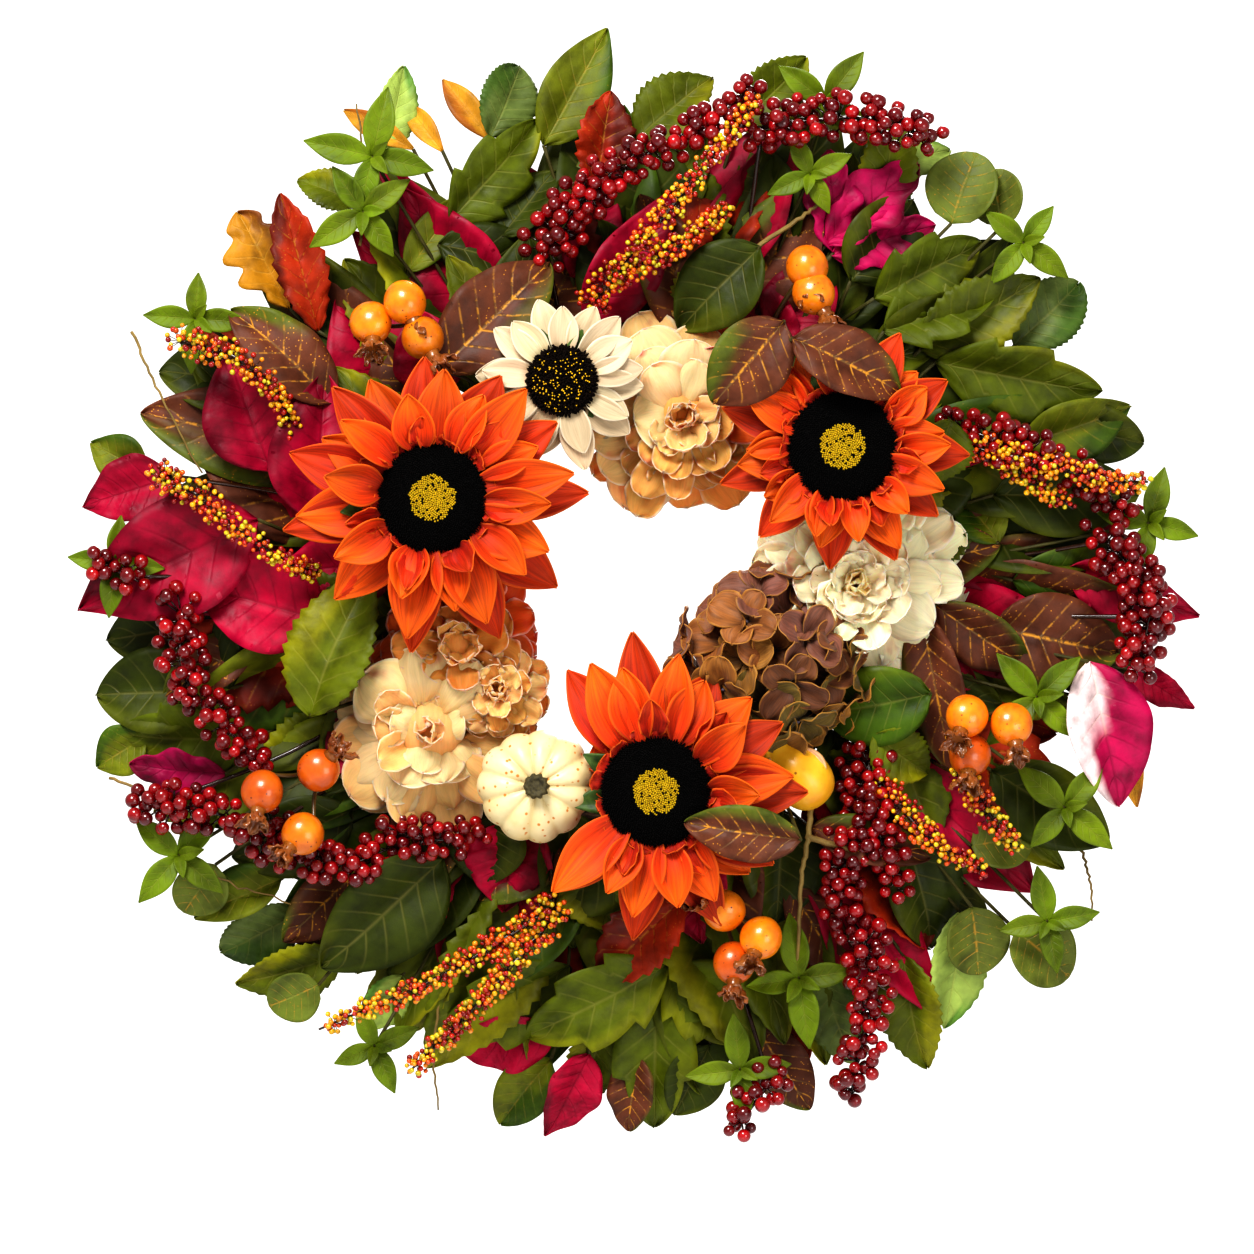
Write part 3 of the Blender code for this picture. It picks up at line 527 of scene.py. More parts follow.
# Leaves one by one: kind, hour and centimetres out at the root, the same at the tip, the width
# in centimetres and, where a leaf lies over or under what is near it, its depth in centimetres.
LEAVES = [
    # between ten and one o'clock
    ("lobed", 11.1, 22.5, 11.6, 25.8, 3.8), ("dark", 11.0, 21.7, 11.5, 18.3, 3.4),
    ("dark", 11.3, 20.6, 11.6, 23.4, 3.0), ("grey", 11.4, 26.0, 11.6, 29.2, 3.4),
    ("olive", 11.6, 24.8, 11.9, 30.4, 3.6), ("olive", 10.8, 21.4, 11.2, 23.6, 2.2),
    ("pale", 11.0, 27.6, 11.2, 31.0, 2.4), ("green", 10.8, 26.0, 10.7, 29.2, 2.4),
    ("gold", 11.4, 25.8, 11.3, 29.8, 1.5), ("gold", 11.2, 26.2, 11.15, 29.4, 1.2),
    ("gold", 11.1, 27.0, 10.95, 30.8, 1.3), ("mustard", 10.3, 24.4, 10.45, 29.8, 4.2),
    ("rust", 10.3, 22.4, 10.6, 28.8, 2.8), ("brown", 10.05, 19.4, 10.2, 26.6, 3.8, 6.2),
    ("brown", 10.6, 16.0, 11.5, 18.4, 4.6, 8.4), ("rust", 11.8, 22.0, 11.9, 27.0, 3.2),
    ("green", 0.0, 24.6, 0.25, 28.6, 3.6), ("green", 0.4, 25.8, 0.6, 30.4, 3.4),
    ("dark", 0.8, 20.6, 0.45, 24.6, 4.0), ("dark", 0.65, 19.7, 0.3, 14.6, 4.4, 7.4),
    ("rust", 0.05, 18.2, 0.4, 21.6, 3.0), ("wine", 11.6, 17.4, 11.9, 21.4, 3.6, 4.6),
    # between nine and ten
    ("wine", 9.6, 21.0, 10.0, 25.8, 5.2, 5.4), ("wine", 9.4, 17.8, 10.15, 20.6, 5.6, 6.6),
    ("wine", 9.35, 21.0, 8.95, 30.4, 6.4, 5.6), ("wine", 9.45, 26.0, 9.3, 30.6, 3.6, 4.4),
    ("wine", 8.8, 17.0, 9.05, 24.0, 5.6, 6.0), ("olive", 9.45, 27.6, 9.5, 30.8, 2.6),
    ("dark", 9.8, 20.0, 9.9, 26.4, 4.2, 3.0),
    # between eight and nine
    ("dark", 8.55, 22.8, 9.0, 24.8, 3.8), ("green", 8.3, 19.0, 9.15, 15.4, 5.0, 7.8),
    ("dark", 8.55, 23.6, 8.65, 30.0, 4.8), ("lobed", 8.3, 22.6, 8.45, 29.4, 4.6),
    ("olive", 8.45, 28.0, 8.4, 31.0, 2.8), ("magenta", 8.2, 24.6, 8.35, 29.2, 3.0),
    ("brown", 8.75, 21.0, 8.6, 26.6, 3.0),
    # between six and eight
    ("grey", 7.55, 25.2, 7.6, 30.2, 3.4), ("green", 7.3, 25.6, 7.5, 30.6, 3.2),
    ("dark", 7.2, 18.0, 7.3, 26.6, 5.4), ("brown", 7.5, 21.0, 7.5, 27.0, 3.2),
    ("lobed", 6.35, 20.8, 6.75, 26.8, 4.4), ("pale", 7.05, 24.6, 7.05, 28.0, 2.6),
    ("dark", 7.75, 19.6, 7.85, 26.4, 4.4), ("olive", 7.7, 25.0, 7.8, 29.8, 3.0),
    ("wine", 6.2, 25.4, 6.3, 30.2, 3.0), ("wine", 6.35, 24.4, 6.75, 27.4, 3.4),
    # round six
    ("lobed", 5.85, 20.4, 6.45, 25.4, 4.4), ("lobed", 5.9, 20.4, 5.95, 29.4, 4.6),
    ("lobed", 5.85, 20.4, 5.55, 25.2, 4.4), ("green", 6.15, 23.6, 6.2, 28.2, 3.0),
    ("olive", 6.35, 26.0, 6.5, 30.2, 3.0), ("brown", 6.0, 25.4, 6.05, 29.4, 2.6),
    ("dark", 5.7, 25.0, 5.85, 28.6, 3.2), ("rust", 5.7, 16.8, 6.2, 21.0, 3.8, 6.0),
    ("dark", 8.9, 13.0, 8.7, 19.0, 5.0, 4.4), ("wine", 8.5, 13.0, 8.9, 18.4, 4.6, 4.0),
    ("dark", 4.2, 13.0, 4.5, 18.6, 5.0, 4.2), ("green", 4.5, 13.2, 4.3, 19.0, 4.6, 4.0),
    ("dark", 6.6, 12.6, 6.3, 19.4, 5.0, 4.2), ("wine", 6.9, 13.6, 6.7, 20.0, 4.6, 4.4),
    ("brown", 6.2, 13.0, 6.1, 19.0, 4.4, 4.4),
    ("brown", 5.5, 24.4, 5.4, 29.6, 3.2),
    # between three and five
    ("pale", 4.5, 24.8, 4.8, 29.4, 3.4), ("green", 4.8, 24.6, 5.0, 30.2, 3.6),
    ("grey", 5.15, 22.4, 5.2, 28.0, 3.4), ("variegated", 3.3, 24.8, 3.78, 28.9, 4.8, 5.6),
    ("wine", 3.3, 27.0, 3.4, 30.8, 1.8), ("gold", 3.45, 27.6, 3.8, 29.4, 1.4),
    ("brown", 3.15, 15.4, 4.0, 19.4, 3.2, 6.2), ("brown", 3.1, 16.2, 3.4, 21.4, 3.2),
    ("olive", 2.75, 19.8, 2.45, 18.4, 2.8), ("brown", 3.2, 19.4, 3.25, 26.4, 5.0),
    ("round", 3.65, 16.8, 4.15, 12.4, 4.4, 7.4), ("green", 4.05, 15.0, 4.1, 18.6, 3.2, 6.8),
    ("brown", 4.9, 16.0, 5.6, 13.0, 3.0, 12.7), ("brown", 4.8, 15.9, 4.4, 21.4, 2.6, 7.0),
    ("dark", 4.4, 19.6, 4.65, 25.4, 4.6), ("dark", 3.9, 21.6, 3.95, 28.8, 4.4),
    ("wine", 2.9, 23.4, 3.1, 30.2, 3.4), ("round", 2.95, 20.4, 2.95, 26.0, 3.4),
    ("dark", 2.9, 21.0, 3.0, 27.6, 5.0, 3.0), ("dark", 3.2, 22.0, 3.35, 28.0, 5.0, 2.8),
    ("green", 8.15, 22.0, 8.2, 29.0, 4.6, 3.2), ("dark", 8.9, 21.0, 8.8, 29.0, 5.0, 2.8),
    ("green", 7.0, 20.4, 6.95, 27.0, 4.8, 3.2), ("dark", 10.0, 22.0, 9.85, 28.6, 4.8, 2.8),
    ("brown", 5.1, 18.0, 5.05, 24.6, 2.8), ("dark", 5.05, 19.0, 5.35, 26.0, 4.0, 3.6),
    # between one and three
    ("lobed", 1.3, 20.4, 1.5, 26.4, 4.0), ("lobed", 1.45, 19.4, 1.65, 25.2, 4.2),
    ("green", 1.65, 20.2, 1.75, 27.4, 4.2), ("lobed", 1.75, 20.4, 2.25, 27.0, 4.2),
    ("grey", 1.9, 24.4, 1.85, 29.4, 3.6), ("dark", 2.2, 24.2, 2.5, 28.4, 3.4),
    ("dark", 1.15, 20.4, 1.2, 26.0, 4.6), ("pale", 1.0, 26.0, 1.15, 29.8, 2.4),
    ("green", 1.1, 24.0, 0.95, 29.6, 3.2), ("brown", 1.05, 15.8, 1.75, 18.2, 3.6, 12.6),
    ("brown", 0.95, 16.4, 0.75, 10.8, 4.2, 12.1), ("green", 2.05, 19.2, 2.35, 16.8, 3.4, 8.4),
    ("dark", 2.5, 20.0, 2.65, 27.6, 4.4), ("olive", 2.3, 22.4, 2.35, 28.6, 3.6),
    ("wine", 0.95, 15.4, 1.0, 20.6, 4.0, 4.8), ("magenta", 0.95, 21.4, 1.1, 27.6, 3.8, 5.2),
    ("magenta", 1.0, 21.0, 1.3, 25.4, 3.4, 5.0), ("magenta", 1.0, 21.2, 0.8, 26.0, 3.2, 5.0),
]

# Small four-leaf sprigs and round eucalyptus leaves: hour, centimetres out and reach.
SPRIGS = [(10.95, 27.6, 2.2), (10.8, 25.4, 2.0), (0.7, 28.4, 2.2), (0.75, 24.4, 1.8), (3.5, 22.4, 2.2),
          (3.9, 26.0, 2.0), (8.0, 28.8, 2.2), (5.6, 26.6, 2.0), (5.25, 22.8, 2.2), (2.75, 28.0, 2.0),
          (7.0, 28.6, 1.8), (10.05, 28.2, 1.8), (4.3, 28.6, 1.9), (9.1, 28.4, 1.8), (1.6, 28.2, 1.8)]
EUCALYPTUS = [(1.35, 26.2, 2.1), (4.45, 25.0, 1.9), (4.4, 27.6, 2.0), (1.5, 28.0, 1.6), (4.25, 22.8, 1.7),
              (7.3, 27.6, 1.5), (7.9, 27.4, 1.6)]

picks = {f"{side}_{number}": [] for side in ("front", "back") for number in range(1, 6)}
pick_hours = {"front": 44 / 30, "back": 8 / 30}
FRONT_DEPTH = 0.045


def to_pick(part_or_parts, place, depth):
    """Puts leaves on the pick that they are wired to: the nearest front one, or one behind."""
    side = "front" if depth > FRONT_DEPTH else "back"
    hour = math.degrees(math.atan2(place[0] - ring_middle[0], place[2] - ring_middle[2])) / 30
    number = round((hour - pick_hours[side]) / 2.4) % 5 + 1
    picks[f"{side}_{number}"].extend(part_or_parts)


# Where no depth is given, a leaf lies lower the further out its root is.
dice = np.random.default_rng(21)
for kind, root_hour, root_out, tip_hour, tip_out, width, *deep in LEAVES:
    depth = deep[0] / 100 if deep else 0.060 - 0.0026 * (root_out - 15) + dice.uniform(-0.005, 0.005)
    root = at(root_hour, root_out / 100, depth)
    tip = at(tip_hour, tip_out / 100, max(depth - 0.006 - dice.uniform(0, 0.01), 0.008))
    made = one_leaf(kind, root, tip, width / 100, dice)
    to_pick([made, taped_wire(root, dice)], root, depth)

# Lower leaves fill the space behind, so that the ring doesn't show between the upper ones. A
# second, shorter row closes the gaps round the flowers.
LOW_LEAVES, SHORT_LEAVES = 108, 40
FILLERS = ("dark", "green", "wine", "dark", "brown", "olive", "dark", "wine", "green", "rust")
for number in range(LOW_LEAVES):
    hour = number / 9 + dice.uniform(-0.06, 0.06)
    root_out = dice.uniform(0.135, 0.175)
    depth = dice.uniform(0.018, 0.034)
    root = at(hour, root_out, depth)
    tip_hour, tip_out = hour + dice.uniform(-0.45, 0.45), dice.uniform(0.225, 0.285)
    tip = at(tip_hour, tip_out, depth + dice.uniform(-0.012, 0.004))
    kind = FILLERS[int(dice.integers(len(FILLERS)))]
    made = one_leaf(kind, root, tip, dice.uniform(0.042, 0.062), dice)
    to_pick([made, taped_wire(root, dice)], root, depth)
for number in range(SHORT_LEAVES):
    hour = number * 0.3 + dice.uniform(-0.1, 0.1)
    depth = dice.uniform(0.038, 0.05)
    root = at(hour, dice.uniform(0.13, 0.15), depth)
    tip_hour, tip_out = hour + dice.uniform(-0.6, 0.6), dice.uniform(0.18, 0.215)
    tip = at(tip_hour, tip_out, depth + dice.uniform(-0.004, 0.006))
    kind = ("dark", "green", "brown", "wine")[number % 4]
    made = one_leaf(kind, root, tip, dice.uniform(0.036, 0.048), dice)
    to_pick([made, taped_wire(root, dice)], root, depth)

for hour, out, reach in SPRIGS:
    middle = at(hour, out / 100, 0.062 - 0.0016 * (out - 22) + dice.uniform(0, 0.006))
    sprig = [taped_wire(middle, dice)]
    start = dice.uniform(0, 3)
    for quarter in range(6):
        way = toward(start + quarter * 3 + (1.2 if quarter > 3 else 0))
        size = reach / 100 * (1.55 if quarter < 4 else 0.7) * dice.uniform(0.85, 1.15)
        made = blade(size, size * 0.4, 0.45, 1.1, fold=0.45, curl=-0.6, rows=16, columns=8,
                     thick=LEAF_THICK, seed=dice.uniform(0, 9))
        made = dyed(made, (104, 122, 14), 0, dice)
        sprig.append(stand(made, middle, way + (0.3 if quarter < 4 else 1.2) * FORWARD, FORWARD))
    to_pick(sprig, middle, 0.03)
for hour, out, reach in EUCALYPTUS:
    middle = at(hour, out / 100, 0.042 + dice.uniform(0, 0.006))
    made = blade(reach / 50, reach / 50, 0.5, 0.5, cup=0.25, curl=-0.3, rows=20, columns=14, thick=LEAF_THICK,
                 veins=5, seed=dice.uniform(0, 9))
    made = dyed(made, (106, 114, 42), 0.5, dice)
    made = stand(made, middle, toward(hour + dice.uniform(-2, 2)), FORWARD, 0.3)
    to_pick([made, taped_wire(middle, dice)], middle, 0.03)

# Bare twigs and thin tendrils ride on the same picks: hour, centimetres out and depth at each bend.
THICK_TWIGS = 3
TWIGS = [((0.25, 15.0, 6.0), (0.55, 18.4, 6.8), (0.75, 21.4, 6.4), (0.85, 23.4, 5.6)),
         ((4.65, 14.4, 7.0), (4.85, 16.2, 7.6), (5.05, 18.4, 7.2), (5.25, 22.6, 6.0)),
         ((4.85, 16.2, 7.6), (4.7, 18.0, 7.4), (4.6, 20.4, 6.6)),
         ((9.9, 31.0, 2.4), (9.75, 28.2, 4.0), (9.5, 24.6, 4.6)),
         ((8.35, 30.6, 2.6), (8.2, 28.4, 4.0), (7.9, 28.0, 4.2), (7.6, 25.4, 4.6)),
         ((4.0, 27.8, 3.2), (4.1, 29.4, 3.6), (4.2, 30.6, 3.0)),
         ((10.7, 24.0, 5.4), (10.9, 27.4, 4.4), (11.0, 30.6, 3.0)),
         ((6.9, 23.0, 4.4), (6.8, 27.4, 4.0), (6.7, 30.4, 2.6))]
for number, knots in enumerate(TWIGS):
    route = curve([at(hour, out / 100, depth / 100) for hour, out, depth in knots], 10)
    route += 0.0004 * dice.standard_normal(route.shape)
    thin = 0.0019 if number < THICK_TWIGS else 0.0009
    made = dyed(tube(route, np.linspace(thin, thin * 0.5, len(route)), 7), (136, 112, 66), 0.2, dice)
    to_pick([made], route[0], 0.05)

for pick, parts in picks.items():
    kind = {"front_4": "wine_leaf", "back_2": "wine_leaf", "front_2": "brown_leaf", "back_5": "brown_leaf"}
    assemble(f"leaves_{pick}", parts, leaf, kind.get(pick, "green_leaf"), f"leaf_pick_{pick}")

# ------------------------------
# Flower stems. A moulded green stem rises from the ring to a cup under each large flower, with
# a ring of pointed sepals pressed out of the same soft plastic.
# ------------------------------

stem_green = new_finish("moulded_stem", Roughness=0.45)
stem_cloud = grain(stem_green, 220.0, 3.0)
stem_shade = ramp(stem_green, stem_cloud, (0.3, colour(40, 66, 20)), (0.7, colour(88, 116, 40)))
join(stem_green, "Base Color", stem_shade)
join(stem_green, "Roughness", between(stem_green, stem_cloud, first=0.35, last=0.6))
raised(stem_green, stem_cloud, 0.4, 0.0003)


def centre(low, high, y):
    """The middle of a box across and up, at another distance forward."""
    return np.array(((low.x + high.x) / 2, y, (low.z + high.z) / 2))


def petal_ring(middle, count, root, length, width, rise, dice, tint=(255, 255, 255), start=0.0,
               sweep=12.0, axis=FORWARD, uneven=1.0, press=((0, 0, 0),), **cut):
    """Petals set round a middle, each leaning up from the flower's face by about rise degrees.

    Those within some hours of an hour are pressed by what lies over them to so many degrees
    below the face: press holds (hour, hours, degrees)."""
    first = unit(TWELVE - TWELVE.dot(axis) * axis)
    second = np.cross(first, axis)
    petals = []
    for number in range(count):
        hour = start + sweep * (number + 0.5) / count + uneven * dice.uniform(-0.12, 0.12)
        pushed, back = max((min(max(2 * (hours - abs((hour - centre + 6) % 12 - 6)), 0), 1), degrees)
                           for centre, hours, degrees in press)
        out = math.cos(math.radians(30 * hour)) * first + math.sin(math.radians(30 * hour)) * second
        lean = math.radians((rise + uneven * dice.uniform(-9, 9)) * (1 - pushed) - pushed * back)
        ahead = math.cos(lean) * out + math.sin(lean) * axis
        up = math.cos(lean) * axis - math.sin(lean) * out
        size = (1 + 0.1 * uneven * dice.uniform(-1, 1)) * (1 - 0.0056 * pushed * max(back, 0))
        broad = width * (1 + 0.1 * uneven * dice.uniform(-1, 1))
        made = blade(length * size, broad, seed=dice.uniform(0, 9), **cut)
        made = dyed(made, tint, 0, dice)
        petals.append(stand(made, middle + root * out, ahead, up, uneven * dice.uniform(-0.22, 0.22)))
    return petals


FLOWERS = {"sunflower_left": "outer_petals", "sunflower_right": "outer_petals",
           "sunflower_bottom": "outer_petals", "cream_sunflower": "petals", "peony_top": "petals",
           "peony_right": "petals", "peony_left": "petals"}
dice = np.random.default_rng(31)
for flower, layer in FLOWERS.items():
    low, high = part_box(f"{flower}_{layer}")
    under = centre(low, high, high.y) - 0.002 * FORWARD
    reach = (high.x - low.x) * 0.27
    sepals = petal_ring(under, 9, 0.004, reach, reach * 0.45, -4, dice, widest=0.35, point=0.9, fold=0.3,
                        curl=0.15, thick=0.0009, rows=10, columns=6)
    rounded(f"{flower}_stalk", f"{flower}_stem", stem_green, "green_stem")
    assemble(f"{flower}_sepals", sepals, stem_green, "green_stem")

# ------------------------------
# Orange sunflowers. Two layers of petals, cut from stiffened cloth, veined and dyed from deep red at the root
# to bright orange at the tip, with painted shade darkening the roots, are threaded on the stem behind a plush
# button.
# ------------------------------


def petal_finish(name, root, tip, rim, streaks, blush=None, **shader):
    """Dyed petal cloth: darker at the root, partly its dye and partly painted shade deep in the flower,
    streaked along its length, with a paler cut edge.

    A rim given as a share is the petal's own colour, that far on its way to white."""
    finish = new_finish(name, **shader)
    if isinstance(rim, float):
        rim = mixed(finish, rim, tint_of(finish), (1, 1, 1, 1))
    across, along, seed = marks_of(finish)
    fibres = step(finish, "CombineXYZ", {0: times(finish, across, 7.0),
                                         1: times(finish, along, 1.3),
                                         2: times(finish, seed, 9.0)})
    streak = grain(finish, 1.6, 4.0, fibres, 0.6)
    cloth = grain(finish, 1600.0, 2.0)
    # Darker towards the root: partly the dye, partly painted shade where the petals lie deep in the flower.
    depth = ramp(finish, along, (0.0, (*root, 1)), (0.42, (1, 1, 1, 1)), (0.95, (*tip, 1)))
    shade = mixed(finish, 1.0, tint_of(finish), depth, "MULTIPLY")
    lines = ramp(finish, streak, (0.3, (1 - streaks,) * 3 + (1,)), (0.7, (1 + streaks,) * 3 + (1,)))
    shade = mixed(finish, 1.0, shade, lines, "MULTIPLY")
    if blush:
        patch = between(finish, grain(finish, 55.0, 2.0), 0.6, 0.72)
        edge = between(finish, along, 0.55, 1.0)
        flush = times(finish, times(finish, patch, edge), 0.8)
        shade = mixed(finish, flush, shade, blush)
    side = sums(finish, "ABSOLUTE", across)
    cut = sums(finish, "MAXIMUM", between(finish, side, 0.86, 1.0),
               between(finish, along, 0.965, 1.0))
    join(finish, "Base Color", mixed(finish, times(finish, cut, 0.6), shade, rim))
    join(finish, "Roughness", between(finish, streak, first=0.48, last=0.72))
    raised(finish, sums(finish, "MULTIPLY_ADD", cloth, 0.25, streak), 0.5, 0.0006)
    return finish


# The root colour darkens each petal's base: the red of the dye, deepened with painted shade.
orange = petal_finish("orange_petal_cloth", (0.3, 0.07, 0.1), (1.1, 2.5, 1.2), colour(228, 112, 14), 0.36,
                      Specular_IOR_Level=0.3, Sheen_Weight=0.05, Sheen_Roughness=0.5)
ORANGE = (206, 62, 2)
DEEP_ORANGE = (178, 36, 2)
BLOOD_ORANGE = (160, 26, 4)
def clouded(finish, cloud, dark, light):
    """Each part's own colour, dappled from dark to light along a cloudy pattern."""
    shade = ramp(finish, cloud, (0.3, (*dark, 1)), (0.7, (*light, 1)))
    return mixed(finish, 1.0, tint_of(finish), shade, "MULTIPLY")


pile = new_finish("flower_button_pile", Roughness=0.9, Specular_IOR_Level=0.2)
pile_grain = grain(pile, 1400.0, 3.0)
join(pile, "Base Color", clouded(pile, pile_grain, (0.55,) * 3, (1.3,) * 3))
raised(pile, pile_grain, 0.6, 0.0004)


GOLDEN_TURN = 2.399963


def outward(angle):
    """The way out from a flower's middle at that angle from the top."""
    return math.cos(angle) * TWELVE + math.sin(angle) * THREE


def button(middle, radius, height, heart, tufts, tall, dice, dark=(9, 7, 6), bright=(196, 164, 30),
           specks=0):
    """A plush flower centre: a low dome covered in tufts, with a heart of another colour."""
    rows = 9
    slope = np.linspace(0, np.pi / 2, rows)
    route = middle + np.outer(np.sin(slope) * height * 0.82, FORWARD)
    parts = [dyed(tube(route, np.maximum(radius * np.cos(slope), 0.0006), 40), dark)]
    for number in range(tufts):
        share = math.sqrt((number + 0.5) / tufts)
        turn = number * GOLDEN_TURN
        out = outward(turn)
        rise = math.sqrt(max(1 - share ** 2, 0))
        ragged = 0.025 * math.sin(5 * turn + 1)
        inside = share < heart * (1 + ragged + dice.uniform(-0.04, 0.04))
        foot = middle + radius * share * out + height * 0.78 * rise * FORWARD
        way = unit(0.55 * share * out + (0.25 + rise) * FORWARD + 0.18 * dice.standard_normal(3))
        grown = tall * (0.75 if inside else 1) * dice.uniform(0.75, 1.25)
        thick = tall * (0.42 if inside else 0.3)
        hair = tube([foot, foot + grown * 0.6 * way, foot + grown * way],
                    [thick, thick * 0.85, thick * 0.25], 5)
        parts.append(dyed(hair, bright if inside and dice.uniform() > 0.1 else dark, 0, dice))
    for number in range(specks):
        angle, share = dice.uniform(0, 2 * math.pi), 0.94 * math.sqrt(dice.uniform(0.02, 1))
        out = outward(angle)
        rise = height * 0.8 * math.sqrt(1 - share ** 2) + tall * 0.9
        place = middle + radius * share * out + rise * FORWARD
        parts.append(dyed(ball(place, tall * 0.16, 2), bright, 0, dice))
    return parts


@lru_cache
def ball_shape(fineness):
    shape = bmesh.new()
    bmesh.ops.create_icosphere(shape, subdivisions=fineness, radius=1)
    points = np.array([vert.co for vert in shape.verts])
    corners = np.array([[vert.index for vert in face.verts] for face in shape.faces])
    shape.free()
    return points, corners


def ball(middle, radius, fineness):
    """A bead or berry."""
    points, corners = ball_shape(fineness)
    marks = np.stack([points[:, 0], 0.5 + 0.5 * points[:, 2], np.zeros(len(points))], 1)
    return Part(middle + radius * points, [(corners, True)], marks, np.ones((len(points), 4)))


# Where a leaf or the pumpkin lies against a sunflower: hour, hours to each side, degrees back.
PRESSED = {"left": [(0, 0, 0)], "right": [(0.9, 1.3, -8)], "bottom": [(9.1, 1.45, 62), (4.4, 1.0, -6)]}
for number, side in enumerate(PRESSED):
    dice = np.random.default_rng(41 + number)
    low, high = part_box(f"sunflower_{side}_outer_petals")
    disc_low, disc_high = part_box(f"sunflower_{side}_disc")
    reach, disc = (high.x - low.x) / 2, (disc_high.x - disc_low.x) / 2
    middle = centre(disc_low, disc_high, high.y)
    cut = dict(widest=0.52, point=0.9, grooves=0.0014, crumple=0.0006, rows=18, columns=12, thick=0.0006,
               press=PRESSED[side])
    long = reach - disc * 0.45
    outer = petal_ring(middle, 11, disc * 0.5, long * 0.98, reach * 0.36, 2, dice, DEEP_ORANGE, 0.3,
                       cup=0.3, curl=-0.35, **cut)
    outer += petal_ring(middle + 0.002 * FORWARD, 10, disc * 0.5, long * 0.86, reach * 0.36, 13, dice,
                        ORANGE, 0.9, cup=0.35, curl=-0.4, **cut)
    flower = f"sunflower_{side}"
    assemble(f"{flower}_outer_layer", outer, orange, "deep_orange_petal", f"{flower}_outer_petals")
    inner = petal_ring(middle + 0.003 * FORWARD, 10, disc * 0.84, long * 0.58, reach * 0.3, 30, dice,
                       ORANGE, 0.2, cup=0.55, curl=-0.6, uneven=1.6, **cut)
    inner += petal_ring(middle + 0.004 * FORWARD, 7, disc * 0.96, long * 0.36, reach * 0.24, 40, dice,
                        DEEP_ORANGE, 0.6, cup=0.5, curl=-0.5, uneven=2.4, ruffle=0.0015, **cut)
    inner += petal_ring(middle + 0.004 * FORWARD, 16, disc * 0.96, disc * 0.26, disc * 0.46, 36, dice,
                        BLOOD_ORANGE, uneven=2.4, widest=0.6, point=0.4, ruffle=0.0016, waves=2.0,
                        crumple=0.0004, thick=0.0005, rows=8, columns=8)
    assemble(f"{flower}_inner_layer", inner, orange, "orange_petal", f"{flower}_inner_petals")
    middle[1] = disc_high.y
    plush = button(middle, disc, disc_high.y - disc_low.y, heart=0.42, tufts=2300, tall=0.0017,
                   dice=dice)
    assemble(f"{flower}_button", plush, pile, "black_pile", f"{flower}_disc")

# ------------------------------
# Cream sunflower. Made the same way, smaller: two overlapping layers of cream petals round a
# spiky dark centre whose tips are touched with yellow.
# ------------------------------

cream = petal_finish("cream_petal_cloth", (0.7, 0.56, 0.32), (1.03, 1.03, 1.03), colour(240, 228, 204), 0.12,
                     Sheen_Weight=0.15, Sheen_Roughness=0.5)
dice = np.random.default_rng(51)
low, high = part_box("cream_sunflower_petals")
disc_low, disc_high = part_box("cream_sunflower_disc")
reach, disc = (high.x - low.x) / 2, (disc_high.x - disc_low.x) / 2
middle = centre(disc_low, disc_high, high.y)
cut = dict(widest=0.56, point=0.74, grooves=0.0007, crumple=0.0003, rows=18, columns=12, thick=0.0005)
CREAM = (208, 186, 150)
layers = petal_ring(middle, 10, disc * 0.5, reach * 0.84, reach * 0.44, 3, dice, CREAM, 0.1,
                    cup=0.3, curl=-0.25, **cut)
layers += petal_ring(middle + 0.0015 * FORWARD, 9, disc * 0.5, reach * 0.78, reach * 0.42, 12, dice,
                     CREAM, 0.7, cup=0.35, curl=-0.3, **cut)
assemble("cream_sunflower_layers", layers, cream, "cream_petal", "cream_sunflower_petals")
middle[1] = disc_high.y
plush = button(middle, disc, disc_high.y - disc_low.y, heart=0.0, tufts=1100, tall=0.0028, dice=dice,
               dark=(26, 15, 8), bright=(236, 190, 40), specks=150)
assemble("cream_sunflower_button", plush, pile, "black_pile", "cream_sunflower_disc")

# ------------------------------
# Peonies. Rows of cupped silk petals are threaded on each stem, wide smooth ones outside and
# small frilled ones inside; some are pressed into balls that close over one side of the head.
# ------------------------------

# The root colour darkens each petal towards its base: partly the silk's dye, partly painted shade inside the
# head.
silk = petal_finish("peony_silk", (0.86, 0.68, 0.46), (1.04, 1.05, 1.04), 0.5, 0.09, colour(206, 84, 76),
                    Sheen_Weight=0.1, Sheen_Roughness=0.4, Specular_IOR_Level=0.3, Subsurface_Weight=0.35,
                    Subsurface_Scale=0.005)
GUARD = dict(widest=0.66, point=0.46, cup=-0.15, curl=-0.4, ruffle=0.002, waves=2.0, crumple=0.0008,
             rows=16, columns=12, thick=0.0005)
PILLOW = dict(widest=0.6, point=0.48, cup=-0.5, curl=-1.1, ruffle=0.0012, waves=2.0, crumple=0.0008,
              rows=18, columns=14, thick=0.0005)
FRILL = dict(widest=0.68, point=0.42, cup=0.2, curl=-0.5, ruffle=0.0028, waves=3.0, crumple=0.0009,
             rows=14, columns=12, thick=0.0005)
CURLED = dict(widest=0.62, point=0.45, cup=0.5, curl=0.3, ruffle=0.002, waves=3.0, crumple=0.0008,
              rows=12, columns=10, thick=0.0005)
PEACH, LIGHT_PEACH, IVORY = (230, 176, 116), (234, 192, 142), (255, 228, 188)
HONEY, AMBER, BUTTER = (222, 158, 86), (206, 132, 60), (236, 200, 132)
TANGERINE, RUST = (214, 92, 24), (196, 92, 30)

